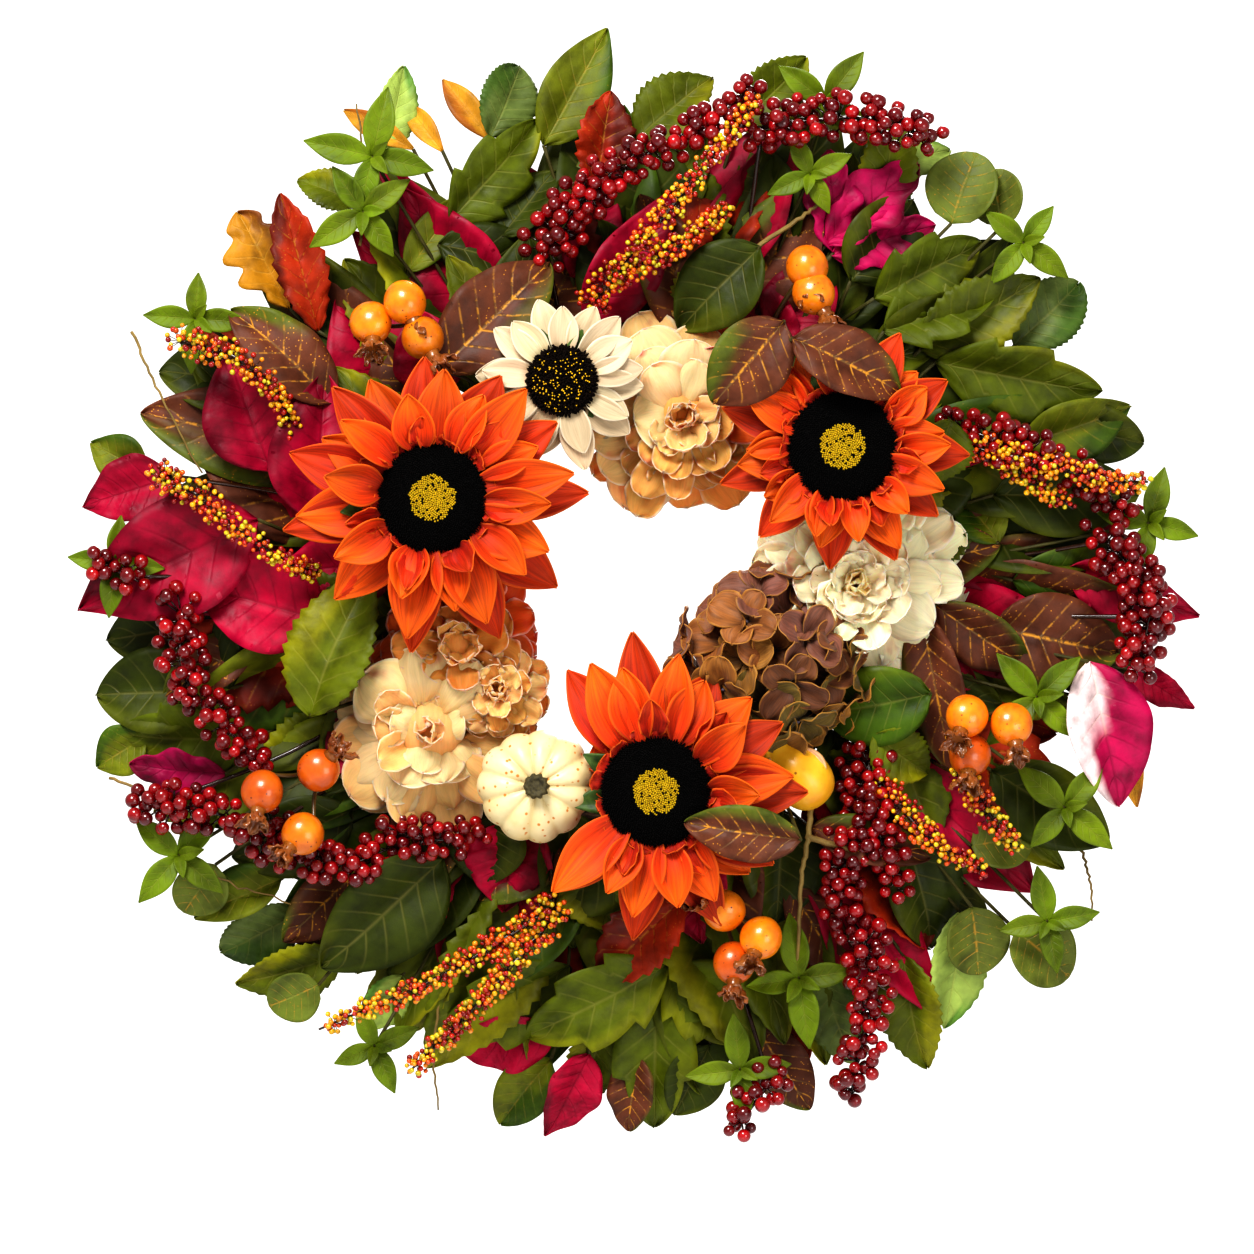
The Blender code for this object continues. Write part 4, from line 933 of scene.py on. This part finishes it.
# Each peony is one whorl of petals or two: millimetres across and up from its stem, reach and
# depth in metres, then its rows from the outside in: petals, root, length and width as shares
# of the reach, rise in degrees, colour, first hour and hours round, height and cut.
PEONIES = {
    "peony_top": [(0, 0, 0.057, 0.060, [
        (13, 0.26, 0.74, 0.44, -4, HONEY, 0, 12, 0.0, FRILL),
        (8, 0.24, 0.74, 0.54, 8, PEACH, 6.6, 7, 0.04, GUARD),
        (6, 0.24, 0.76, 0.42, 10, TANGERINE, 0.6, 3.4, 0.06, FRILL),
        (3, 0.16, 0.78, 0.66, 18, LIGHT_PEACH, 9.4, 3.4, 0.14, PILLOW),
        (3, 0.2, 0.6, 0.5, 20, PEACH, 6.4, 2.8, 0.1, PILLOW),
        (9, 0.26, 0.58, 0.36, 20, HONEY, 3.0, 4.8, 0.1, FRILL),
        (5, 0.2, 0.62, 0.4, 28, TANGERINE, 0.8, 2.8, 0.12, FRILL),
        (2, 0.14, 0.62, 0.54, 36, LIGHT_PEACH, 10.6, 2.4, 0.24, PILLOW),
        (9, 0.16, 0.46, 0.32, 36, HONEY, 2.6, 5.6, 0.19, FRILL),
        (3, 0.06, 0.46, 0.46, 52, LIGHT_PEACH, 8.2, 5, 0.3, PILLOW),
        (7, 0.08, 0.36, 0.3, 52, PEACH, 2.0, 6, 0.27, FRILL),
        (6, 0.02, 0.3, 0.28, 66, HONEY, 0, 12, 0.33, CURLED)])],
    "peony_right": [(0, 0, 0.061, 0.058, [
        (14, 0.28, 0.74, 0.44, -5, IVORY, 0, 12, 0.0, GUARD),
        (13, 0.27, 0.7, 0.44, 8, IVORY, 0.5, 12, 0.05, FRILL),
        (5, 0.24, 0.64, 0.52, 18, IVORY, 1.2, 4.6, 0.12, PILLOW),
        (8, 0.25, 0.6, 0.4, 20, IVORY, 5.4, 8, 0.11, FRILL),
        (4, 0.18, 0.56, 0.46, 30, IVORY, 1.6, 4.2, 0.19, PILLOW),
        (9, 0.21, 0.52, 0.36, 31, IVORY, 5.4, 8.4, 0.17, FRILL),
        (10, 0.16, 0.45, 0.34, 42, IVORY, 0, 12, 0.22, FRILL),
        (9, 0.1, 0.38, 0.3, 52, IVORY, 0.5, 12, 0.27, FRILL),
        (8, 0.05, 0.32, 0.26, 60, IVORY, 0, 12, 0.31, FRILL),
        (5, 0.01, 0.26, 0.24, 72, BUTTER, 0.4, 12, 0.34, CURLED)])],
    "peony_left": [(0, 0, 0.063, 0.058, [
        (14, 0.26, 0.72, 0.46, -5, PEACH, 0, 12, 0.0, GUARD),
        (11, 0.24, 0.64, 0.46, 6, PEACH, 0.5, 12, 0.05, GUARD),
        (3, 0.16, 0.72, 0.5, 15, LIGHT_PEACH, 8.0, 2.2, 0.16, PILLOW),
        (3, 0.22, 0.58, 0.46, 15, LIGHT_PEACH, 6.2, 2.0, 0.16, PILLOW),
        (3, 0.24, 0.54, 0.4, 17, PEACH, 4.4, 2.0, 0.16, PILLOW),
        (2, 0.28, 0.5, 0.42, 14, PEACH, 3.1, 1.6, 0.1, PILLOW),
        (3, 0.22, 0.56, 0.5, 22, LIGHT_PEACH, 9.9, 2.0, 0.3, PILLOW),
        (3, 0.16, 0.62, 0.42, 28, LIGHT_PEACH, 0.0, 1.8, 0.3, PILLOW),
        (3, 0.16, 0.42, 0.38, 28, PEACH, 7.4, 3.2, 0.22, CURLED),
        (3, 0.12, 0.4, 0.38, 40, LIGHT_PEACH, 3.6, 4, 0.22, PILLOW),
        (3, 0.04, 0.34, 0.36, 56, LIGHT_PEACH, 0, 12, 0.28, PILLOW),
        (3, 0.02, 0.26, 0.26, 66, PEACH, 1, 12, 0.3, CURLED)]),
                   (36, 22, 0.029, 0.068, [
        (8, 0.22, 0.8, 0.56, 2, HONEY, 0, 12, 0.0, FRILL),
        (8, 0.2, 0.7, 0.54, 18, PEACH, 0.5, 12, 0.1, FRILL),
        (7, 0.16, 0.58, 0.48, 34, HONEY, 0, 12, 0.2, FRILL),
        (6, 0.1, 0.48, 0.44, 48, PEACH, 0.5, 12, 0.3, FRILL),
        (5, 0.04, 0.38, 0.4, 64, HONEY, 0, 12, 0.36, CURLED)])],
    "gold_peony": [(0, 0, 0.046, 0.066, [
        (12, 0.24, 0.76, 0.5, -3, RUST, 0, 12, 0.0, GUARD),
        (11, 0.24, 0.66, 0.48, 12, TANGERINE, 0.5, 12, 0.07, FRILL),
        (9, 0.2, 0.56, 0.46, 26, AMBER, 0, 12, 0.14, FRILL),
        (8, 0.14, 0.46, 0.4, 42, AMBER, 0.5, 12, 0.22, FRILL),
        (6, 0.06, 0.36, 0.34, 58, HONEY, 0, 12, 0.29, CURLED)])],
}
for number, (flower, whorls) in enumerate(PEONIES.items()):
    dice = np.random.default_rng(61 + number)
    node = flower if flower == "gold_peony" else f"{flower}_petals"
    low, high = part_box(node)
    petals = []
    for across, up, reach, depth, rows in whorls:
        middle = centre(low, high, wreath_back - depth)
        middle += across / 1000 * THREE + up / 1000 * TWELVE
        if flower == "gold_peony":
            middle = at(8.45, 0.102, depth)
        heart = reach * 0.3
        petals.append(dyed(ball(middle + heart * 0.4 * FORWARD, heart, 3), rows[-1][5]))
        petals.append(taped_wire(middle, dice))
        for count, root, length, width, rise, tint, start, sweep, height, cut in rows:
            petals += petal_ring(middle + height * reach * FORWARD, count, root * reach, length * reach,
                                 width * reach, rise, dice, tint, start, sweep, uneven=1.5, **cut)
    slot = {"peony_right": "ivory_petal", "gold_peony": "gold_petal"}.get(flower, "peach_petal")
    assemble(f"{flower}_head", petals, silk, slot, node)

# ------------------------------
# Hydrangea. A dome of four-petalled florets in antique brown, edged with gold, each on its own
# thread of wire from one taped stem.
# ------------------------------

antique = petal_finish("hydrangea_petal_cloth", (0.45, 0.42, 0.3), (0.95, 0.92, 0.8),
                       colour(196, 140, 50), 0.34, Sheen_Weight=0.15, Sheen_Roughness=0.5)
dice = np.random.default_rng(71)
middle = at(3.95, 0.083, 0.056)
dome = 0.043
florets = [taped_wire(middle, dice)]
FLORETS = 30
ANTIQUE_SHADES = [(140, 86, 36), (112, 66, 34), (150, 104, 44), (128, 80, 62), (108, 90, 32)]
for number in range(FLORETS):
    lean = math.acos(1 - 0.92 * (number + 0.5) / FLORETS)
    out = outward(number * GOLDEN_TURN)
    way = unit(math.sin(lean) * out + math.cos(lean) * FORWARD + 0.12 * dice.standard_normal(3))
    layer = (0.9, 1.1)[number % 2]
    place = middle + dome * (math.sin(lean) * out + 0.92 * math.cos(lean) * FORWARD) * layer
    shade = ANTIQUE_SHADES[number % 5]
    florets += petal_ring(place, 4, 0.0008, 0.0205, 0.0215, 34, dice, shade, dice.uniform(0, 3), axis=way,
                          uneven=1.7, widest=0.6, point=0.5, cup=0.35, curl=-0.6, ruffle=0.0012, waves=2,
                          crumple=0.0006, rows=12, columns=10, thick=0.0005)
    florets.append(dyed(ball(place + 0.001 * way, 0.0011, 2), (120, 110, 130)))
    florets.append(dyed(tube([middle, (middle + place) / 2 + 0.003 * out, place], 0.0005, 5), (84, 92, 40)))
florets += petal_ring(at(4.55, 0.118, 0.078), 2, 0.001, 0.026, 0.022, 10, dice, (232, 188, 150), 3.4, 4,
                      cup=0.3, widest=0.6, point=0.45, ruffle=0.0008, rows=14, columns=10)
assemble("hydrangea_head", florets, antique, "brown_petal", "hydrangea")

# ------------------------------
# Mini pumpkin and gourd. Cast in light foam with a painted skin, lobed or pear-shaped, speckled
# with darker paint; the pumpkin's stalk is cast apart and glued into its hollow crown.
# ------------------------------


def fruit_finish(name, skin, shadow, speck, size, amount, **shader):
    """Painted fruit skin, clouded between two colours and speckled with a third."""
    finish = new_finish(name, **shader)
    where = step(finish, "TexCoord", {}, "Object")
    cloud = grain(finish, 60.0, 3.0)
    base = ramp(finish, cloud, (0.3, shadow), (0.65, skin))
    base = mixed(finish, 1.0, base, tint_of(finish), "MULTIPLY")
    cell = step(finish, "TexVoronoi", {"Vector": where, "Scale": size, "Randomness": 1.0}, "Distance")
    spots = between(finish, cell, amount, amount * 0.6)
    some = between(finish, grain(finish, size * 0.4, 1.0), 0.4, 0.45)
    base = mixed(finish, times(finish, spots, some), base, speck)
    join(finish, "Base Color", base)
    rough = shader["Roughness"]
    join(finish, "Roughness", between(finish, cloud, first=rough * 0.8, last=rough * 1.2))
    raised(finish, sums(finish, "MULTIPLY_ADD", spots, -0.5, grain(finish, 400.0, 3.0)), 0.25, 0.0004)
    return finish


pumpkin_skin = fruit_finish("pumpkin_paint", colour(238, 222, 176), colour(226, 202, 146),
                            colour(206, 132, 44), 230.0, 0.24, Roughness=0.42, Coat_Weight=0.15,
                            Coat_Roughness=0.3)
low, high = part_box("pumpkin")
pumpkin_depth = 0.094
middle = centre(low, high, wreath_back - pumpkin_depth)
wide = 0.0315
tall = 0.037
rings, sides = 41, 154
turned = np.linspace(-0.5, 0.5, rings) * np.pi
radii = np.maximum(wide * np.cos(turned) ** 0.74, 0.0005)
hollow = np.sign(turned) * 0.0032 * np.exp(-(radii / 0.009) ** 2)
around = circle(sides)
lobed = 1 - np.abs(np.sin(5.5 * around + 0.12 * np.sin(2 * around)))[None] ** 0.75
flute = 1 + 0.03 * np.sin(2 * around + 1)[None] + 0.02 * np.sin(3 * around)[None]
flute = flute - 0.075 * lobed * np.ones((rings, 1))
skin = tube(middle + np.outer(tall / 2 * np.sin(turned), FORWARD), radii, sides, flute=flute)
skin.points[:, 1] += np.repeat(hollow, sides)
groove = (0.12 * lobed * (1 - np.exp(-(radii / 0.006) ** 2))[:, None]).reshape(-1)
skin.points[:, 1] -= groove * (skin.points[:, 1] - middle[1])
dice = np.random.default_rng(81)
# Darker and warmer along the grooves between the lobes: painted shade in the creases.
shade = 1 - 0.16 * lobed ** 2 * np.ones((rings, 1))
skin.tints[:, :3] *= shade.reshape(-1, 1) ** np.array((1, 1.3, 2.0))
fruit = [skin, taped_wire(middle - 0.014 * FORWARD, dice)]
assemble("mini_pumpkin", fruit, pumpkin_skin, "pumpkin_skin", "pumpkin")

stalk = new_finish("pumpkin_stalk_paint", Roughness=0.7)
stalk_cloud = grain(stalk, 500.0, 4.0)
join(stalk, "Base Color", ramp(stalk, stalk_cloud, (0.3, colour(46, 40, 20)), (0.7, colour(94, 84, 50))))
raised(stalk, stalk_cloud, 0.6, 0.0005)
stalk_low, stalk_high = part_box("pumpkin_stalk")
stalk_depth = 0.1082
stalk_foot = centre(stalk_low, stalk_high, wreath_back - stalk_depth)
# Its side and its hollow end, ring by ring: how far up from the foot, and how wide.
rings = [(0.0, 0.0078), (0.002, 0.0066), (0.005, 0.0057), (0.0085, 0.0055), (0.0105, 0.0059),
         (0.0113, 0.0056), (0.0113, 0.0042), (0.0106, 0.0037), (0.0104, 0.0021), (0.0108, 0.0009)]
route = np.array([stalk_foot + rise * FORWARD for rise, _ in rings])
route += np.outer(np.linspace(0, 1e-5, len(rings)), FORWARD)
ribs = 1 + 0.09 * np.cos(10 * circle(40))[None] * np.ones((len(rings), 1))
straight = np.linspace(stalk_foot, stalk_foot + 0.0113 * FORWARD, len(rings))
core = tube(straight, 0.005, 40, flute=ribs)
ribbed = (core.points.reshape(len(rings), 40, 3) - straight[:, None]) / 0.005
widths = np.array([size for _, size in rings])[:, None, None]
core.points[:] = (route[:, None] + ribbed * widths).reshape(-1, 3)
assemble("mini_pumpkin_stalk", [core], stalk, "pumpkin_stalk", "pumpkin_stalk")

gourd_skin = fruit_finish("gourd_paint", colour(246, 196, 56), colour(232, 160, 30), colour(150, 96, 20),
                          160.0, 0.16, Roughness=0.32, Coat_Weight=0.2, Coat_Roughness=0.25)
gourd_middle = at(4.63, 0.129, 0.074)
lie = unit(toward(10.6) + 0.15 * FORWARD)
turned = np.linspace(-0.5, 0.5, 25) * np.pi
waist = np.exp(-((turned - 0.6) / 0.3) ** 2)
pear = np.cos(turned) ** 0.85 * (0.0152 - 0.004 * np.sin(turned) - 0.0025 * waist)
route = gourd_middle + np.outer(np.sin(turned) * 0.024, lie)
gourd_body = tube(route, np.maximum(pear, 0.0008), 36)
fruit = [gourd_body, taped_wire(gourd_middle, dice)]
assemble("small_gourd", fruit, gourd_skin, "gourd_skin", "gourd")

# ------------------------------
# Rose hips. Glossy orange foam balls flecked with brown, each with a shrivelled papery crown,
# in twos and threes on forked wires.
# ------------------------------

hip_skin = new_finish("rose_hip_paint", Roughness=0.28, Coat_Weight=0.5, Coat_Roughness=0.15)
hip_cloud = grain(hip_skin, 110.0, 3.0)
hip_cell = step(hip_skin, "TexVoronoi", {"Vector": step(hip_skin, "TexCoord", {}, "Object"), "Scale": 330.0},
                "Distance")
hip_spots = between(hip_skin, hip_cell, 0.2, 0.12)
hip_some = between(hip_skin, grain(hip_skin, 180.0, 1.0), 0.52, 0.57)
hip_base = clouded(hip_skin, hip_cloud, (0.75, 0.6, 0.5), (1.1, 1.15, 1.1))
hip_base = mixed(hip_skin, times(hip_skin, hip_spots, hip_some), hip_base, colour(96, 42, 14))
join(hip_skin, "Base Color", hip_base)
join(hip_skin, "Roughness", between(hip_skin, hip_cloud, first=0.22, last=0.42))
raised(hip_skin, sums(hip_skin, "MULTIPLY_ADD", hip_spots, -0.6, grain(hip_skin, 500.0, 2.0)), 0.2, 0.0003)

# Each hip: hour, centimetres out, and the hour that its crown points to.
HIPS = {"upper_left": [(10.5, 20.4, 5.8), (10.7, 20.0, 5.2), (10.65, 17.9, 5.0)],
        "upper_right": [(0.92, 19.7, 5.8), (1.02, 18.6, 5.0)],
        "right": [(3.7, 19.0, 6.8), (3.66, 21.4, 5.6), (3.88, 20.0, 6.2)],
        "bottom": [(5.5, 17.9, 9.6), (5.35, 19.9, 6.8), (5.52, 20.8, 6.0)],
        "lower_left": [(8.02, 19.8, 1.4), (7.8, 22.4, 7.4), (8.06, 23.0, 6.4)]}
HIP = 0.0115
for number, (cluster, hips) in enumerate(HIPS.items()):
    dice = np.random.default_rng(91 + number)
    parts = []
    fork = at(hips[0][0], hips[0][1] / 100, 0.066)
    parts.append(taped_wire(fork, dice, (96, 74, 40), 0.0016))
    for hour, out, crown_hour in hips:
        place = at(hour, out / 100, 0.086 + dice.uniform(-0.003, 0.005))
        crown = unit(toward(crown_hour) + dice.uniform(0.25, 0.75) * FORWARD)
        turned = np.linspace(-0.5, 0.5, 21) * np.pi
        route = place + np.outer(np.sin(turned) * HIP * 1.04, crown)
        lumpy = 1 + 0.02 * np.sin(3 * circle(28) + dice.uniform(0, 6))[None] * np.ones((21, 1))
        body = tube(route, np.maximum(np.cos(turned) * HIP, 0.0006), 28, flute=lumpy)
        parts.append(dyed(body, (246, 142, 22) if dice.uniform() < 0.75 else (214, 104, 22), 0, dice))
        joint = place - 0.9 * HIP * crown
        twig = curve([fork, (fork + place) / 2 - 0.003 * crown, joint], 5)
        parts.append(dyed(tube(twig, 0.0012, 6), (96, 74, 40)))
        neck = place + 0.9 * HIP * crown
        parts.append(dyed(tube([neck - 0.001 * crown, neck + 0.003 * crown, neck + 0.006 * crown],
                               [0.0052, 0.0036, 0.0044], 12), (150, 92, 34)))
        parts += petal_ring(neck + 0.004 * crown, 6, 0.0028, 0.0098, 0.0068, 48, dice, (146, 88, 42),
                            axis=crown, uneven=2.2, widest=0.5, point=0.7, cup=0.5, curl=0.35,
                            ruffle=0.0014, waves=2.0, crumple=0.0007, rows=10, columns=8)
    assemble(f"hips_{cluster}", parts, hip_skin, "hip_skin", f"rose_hips_{cluster}")

# ------------------------------
# Berry sprays. Lacquered red berries on thin wires, crowded along a branching stem.
# ------------------------------

berry = new_finish("berry_lacquer", Roughness=0.18, Coat_Weight=0.8, Coat_Roughness=0.08)
berry_cloud = grain(berry, 160.0, 2.0)
join(berry, "Base Color", clouded(berry, berry_cloud, (0.6, 0.5, 0.5), (1.3,) * 3))
join(berry, "Roughness", between(berry, berry_cloud, first=0.12, last=0.3))
raised(berry, grain(berry, 700.0, 2.0), 0.1, 0.0002)


MOST_TRIES = 12000


def spray(branches, heads, size, spread, apart, shades, stem_shade, dice, depth, fineness=3):
    """A branching stem crowded with heads: berries or seed beads, each on a thin wire.

    There are so many heads to a metre, at most spread from the stem, and their middles at least
    apart from one another."""
    parts, placed = [], []
    for branch in branches:
        knots = [at(hour, out / 100, depth + (0.006 if 0 < i < len(branch) - 1 else -0.004))
                 for i, (hour, out) in enumerate(branch)]
        route = curve(knots, 8)
        parts.append(dyed(tube(route, np.linspace(0.0014, 0.0007, len(route)), 6), stem_shade))
        parts.append(taped_wire(route[0], dice, stem_shade, 0.0013, 0.034))
        long = np.linalg.norm(np.diff(route, axis=0), axis=1).sum()
        count, tries = int(long * heads), 0
        while count > 0 and tries < MOST_TRIES:
            tries += 1
            along = dice.uniform(0.0, 1.0)
            root = route[int(along * (len(route) - 1))]
            away = dice.standard_normal(3) * np.array((1, 0.75, 1))
            away[1] = -abs(away[1]) * 0.9 + 0.2
            place = root + unit(away) * spread * dice.uniform(0.3, 1.0) * (1.1 - 0.45 * along)
            radius = size * dice.uniform(0.82, 1.14)
            if placed and min(np.linalg.norm(np.array(placed) - place, axis=1)) < apart:
                continue
            placed.append(place)
            count -= 1
            shade = shades[int(dice.integers(len(shades)))]
            parts.append(dyed(ball(place, radius, fineness), shade, 0, dice))
            wire_end = place - unit(place - root) * radius * 0.9
            parts.append(dyed(tube([root, (root + wire_end) / 2 + 0.001 * FORWARD, wire_end], size * 0.14, 4),
                              stem_shade))
    return parts


# Each spray's branches: hour and centimetres out at every bend.
BERRIES = {
    "top": [[(11.5, 19.4), (11.8, 22.0), (0.1, 24.0), (0.3, 25.8), (0.45, 27.8)],
            [(0.5, 26.0), (0.8, 28.0), (1.0, 28.8), (1.1, 29.2)]],
    "right": [[(2.1, 19.4), (2.3, 21.8), (2.5, 24.6), (2.7, 26.8)],
              [(2.8, 25.6), (2.95, 27.0), (3.05, 27.8), (3.3, 27.4)],
              [(3.1, 27.6), (3.32, 27.4)]],
    "lower_right": [[(4.2, 15.4), (4.5, 18.4), (4.65, 22.0)], [(4.4, 16.6), (4.75, 18.4), (4.95, 21.0)],
                    [(4.9, 22.4), (5.0, 25.4), (5.15, 27.8), (5.25, 30.0)], [(5.5, 27.6), (5.65, 29.6)]],
    "left": [[(8.9, 24.8), (8.65, 25.0), (8.4, 23.6), (8.15, 22.2)], [(9.05, 27.6), (9.1, 29.4)]],
    "lower_left": [[(8.2, 28.6), (8.05, 25.6), (7.75, 24.2)], [(7.9, 23.6), (7.6, 22.2), (7.45, 19.2)],
                   [(7.5, 18.6), (7.3, 17.4), (7.1, 15.8)]],
}
BERRY_REDS = [(142, 4, 14), (120, 2, 12), (160, 8, 18), (104, 1, 12)]
for number, (place, branches) in enumerate(BERRIES.items()):
    dice = np.random.default_rng(111 + number)
    parts = spray(branches, heads=760, size=0.0038, spread=0.0145, apart=0.0062, shades=BERRY_REDS,
                  stem_shade=(52, 30, 20), dice=dice, depth=0.0645)
    assemble(f"berries_{place}", parts, berry, "berry_red", f"berry_spray_{place}")

# ------------------------------
# Seed sprays. Fine dark wires carry beads of yellow, orange and red, dipped while wet.
# ------------------------------

seeds = new_finish("seed_bead_lacquer", Roughness=0.25, Coat_Weight=0.6, Coat_Roughness=0.12)
seed_cloud = grain(seeds, 500.0, 2.0)
join(seeds, "Base Color", clouded(seeds, seed_cloud, (0.6, 0.55, 0.5), (1.25, 1.25, 1.2)))
raised(seeds, seed_cloud, 0.2, 0.0002)
SEEDS = {
    "top": [[(11.7, 15.8), (0.0, 18.4), (0.2, 21.4), (0.35, 24.4), (0.45, 27.4)],
            [(11.85, 17.0), (0.2, 18.6), (0.45, 21.4)]],
    "right": [[(2.2, 19.2), (2.4, 22.6), (2.55, 25.6), (2.6, 28.2)], [(2.3, 20.6), (2.65, 24.0)]],
    "lower_right": [[(4.3, 17.4), (4.35, 21.0), (4.3, 24.2)], [(4.0, 20.4), (4.1, 23.0), (4.15, 24.8)]],
    "left": [[(9.95, 28.2), (10.0, 25.2), (9.95, 22.2), (9.8, 20.4)],
             [(9.45, 26.6), (9.4, 24.2), (9.3, 22.2), (9.15, 19.0), (9.1, 17.2)]],
    "bottom": [[(6.5, 17.8), (6.9, 23.4), (7.2, 29.4)], [(6.5, 18.6), (6.7, 23.8), (6.85, 29.0)]],
}
SEED_SHADES = [(236, 180, 20), (240, 150, 16), (226, 96, 14), (190, 40, 16), (214, 196, 40), (150, 22, 16)]
for number, (place, branches) in enumerate(SEEDS.items()):
    dice = np.random.default_rng(121 + number)
    parts = spray(branches, heads=2300, size=0.0015, spread=0.0092, apart=0.0022, shades=SEED_SHADES,
                  stem_shade=(56, 30, 14), dice=dice, depth=0.074, fineness=2)
    assemble(f"seeds_{place}", parts, seeds, "seed_yellow", f"seed_spray_{place}")

# ------------------------------
# The studio: a plain pale floor well below the hanging wreath, soft lamps, and a long lens
# square on to the wreath.
# ------------------------------

floor_finish = new_finish("studio_floor", Roughness=0.8, Base_Color=colour(236, 236, 238))
floor_mesh = bpy.data.meshes.new("studio_floor")
floor_height = -1.75
corners = [(-7, -7), (7, -7), (7, 7), (-7, 7)]
floor_mesh.from_pydata([(x, y, floor_height) for x, y in corners], [], [(0, 1, 2, 3)])
floor_mesh.materials.append(floor_finish)
studio_floor = bpy.data.objects.new("studio_floor", floor_mesh)
bpy.context.scene.collection.objects.link(studio_floor)

# The air lights the wreath softly, and is paler where the lens looks straight at it.
AIR_LIGHT, AIR_SEEN = 0.38, 0.96
world = bpy.data.worlds.new("studio")
world.use_nodes = True
background = world.node_tree.nodes["Background"]
background.inputs["Color"].default_value = (1.0, 0.99, 0.97, 1)
seen = world.node_tree.nodes.new("ShaderNodeLightPath").outputs["Is Camera Ray"]
paleness = world.node_tree.nodes.new("ShaderNodeMapRange")
paleness.inputs["To Min"].default_value = AIR_LIGHT
paleness.inputs["To Max"].default_value = AIR_SEEN
world.node_tree.links.new(seen, paleness.inputs["Value"])
world.node_tree.links.new(paleness.outputs["Result"], background.inputs["Strength"])
bpy.context.scene.world = world


LAMP_AIM = Vector((0.0, -0.05, -0.17))


def lamp(name, place, wide, watts):
    """A soft square lamp aimed at the wreath."""
    light = bpy.data.lights.new(name, "AREA")
    light.size = wide
    light.energy = watts
    holder = bpy.data.objects.new(name, light)
    holder.location = place
    holder.rotation_mode = "QUATERNION"
    holder.rotation_quaternion = (LAMP_AIM - Vector(place)).to_track_quat("-Z", "Y")
    bpy.context.scene.collection.objects.link(holder)


lamp("key_lamp", (-0.8, -2.1, 1.8), 1.2, 86)
lamp("fill_lamp", (1.6, -2.4, -0.6), 1.4, 20)
lamp("back_lamp", (0.6, 2.2, 1.4), 1.4, 40)

camera_away = 6.0
camera = bpy.data.objects.new("camera", bpy.data.cameras.new("camera"))
camera.location = (ring_middle[0] - 0.006, -camera_away, ring_middle[2] - 0.02)
camera.rotation_euler = (math.pi / 2, 0, 0)
camera.data.lens = 315
camera.data.sensor_width = 36
bpy.context.scene.collection.objects.link(camera)
bpy.context.scene.camera = camera
bpy.context.scene.view_settings.view_transform = "Standard"
bpy.context.scene.view_settings.look = "High Contrast"
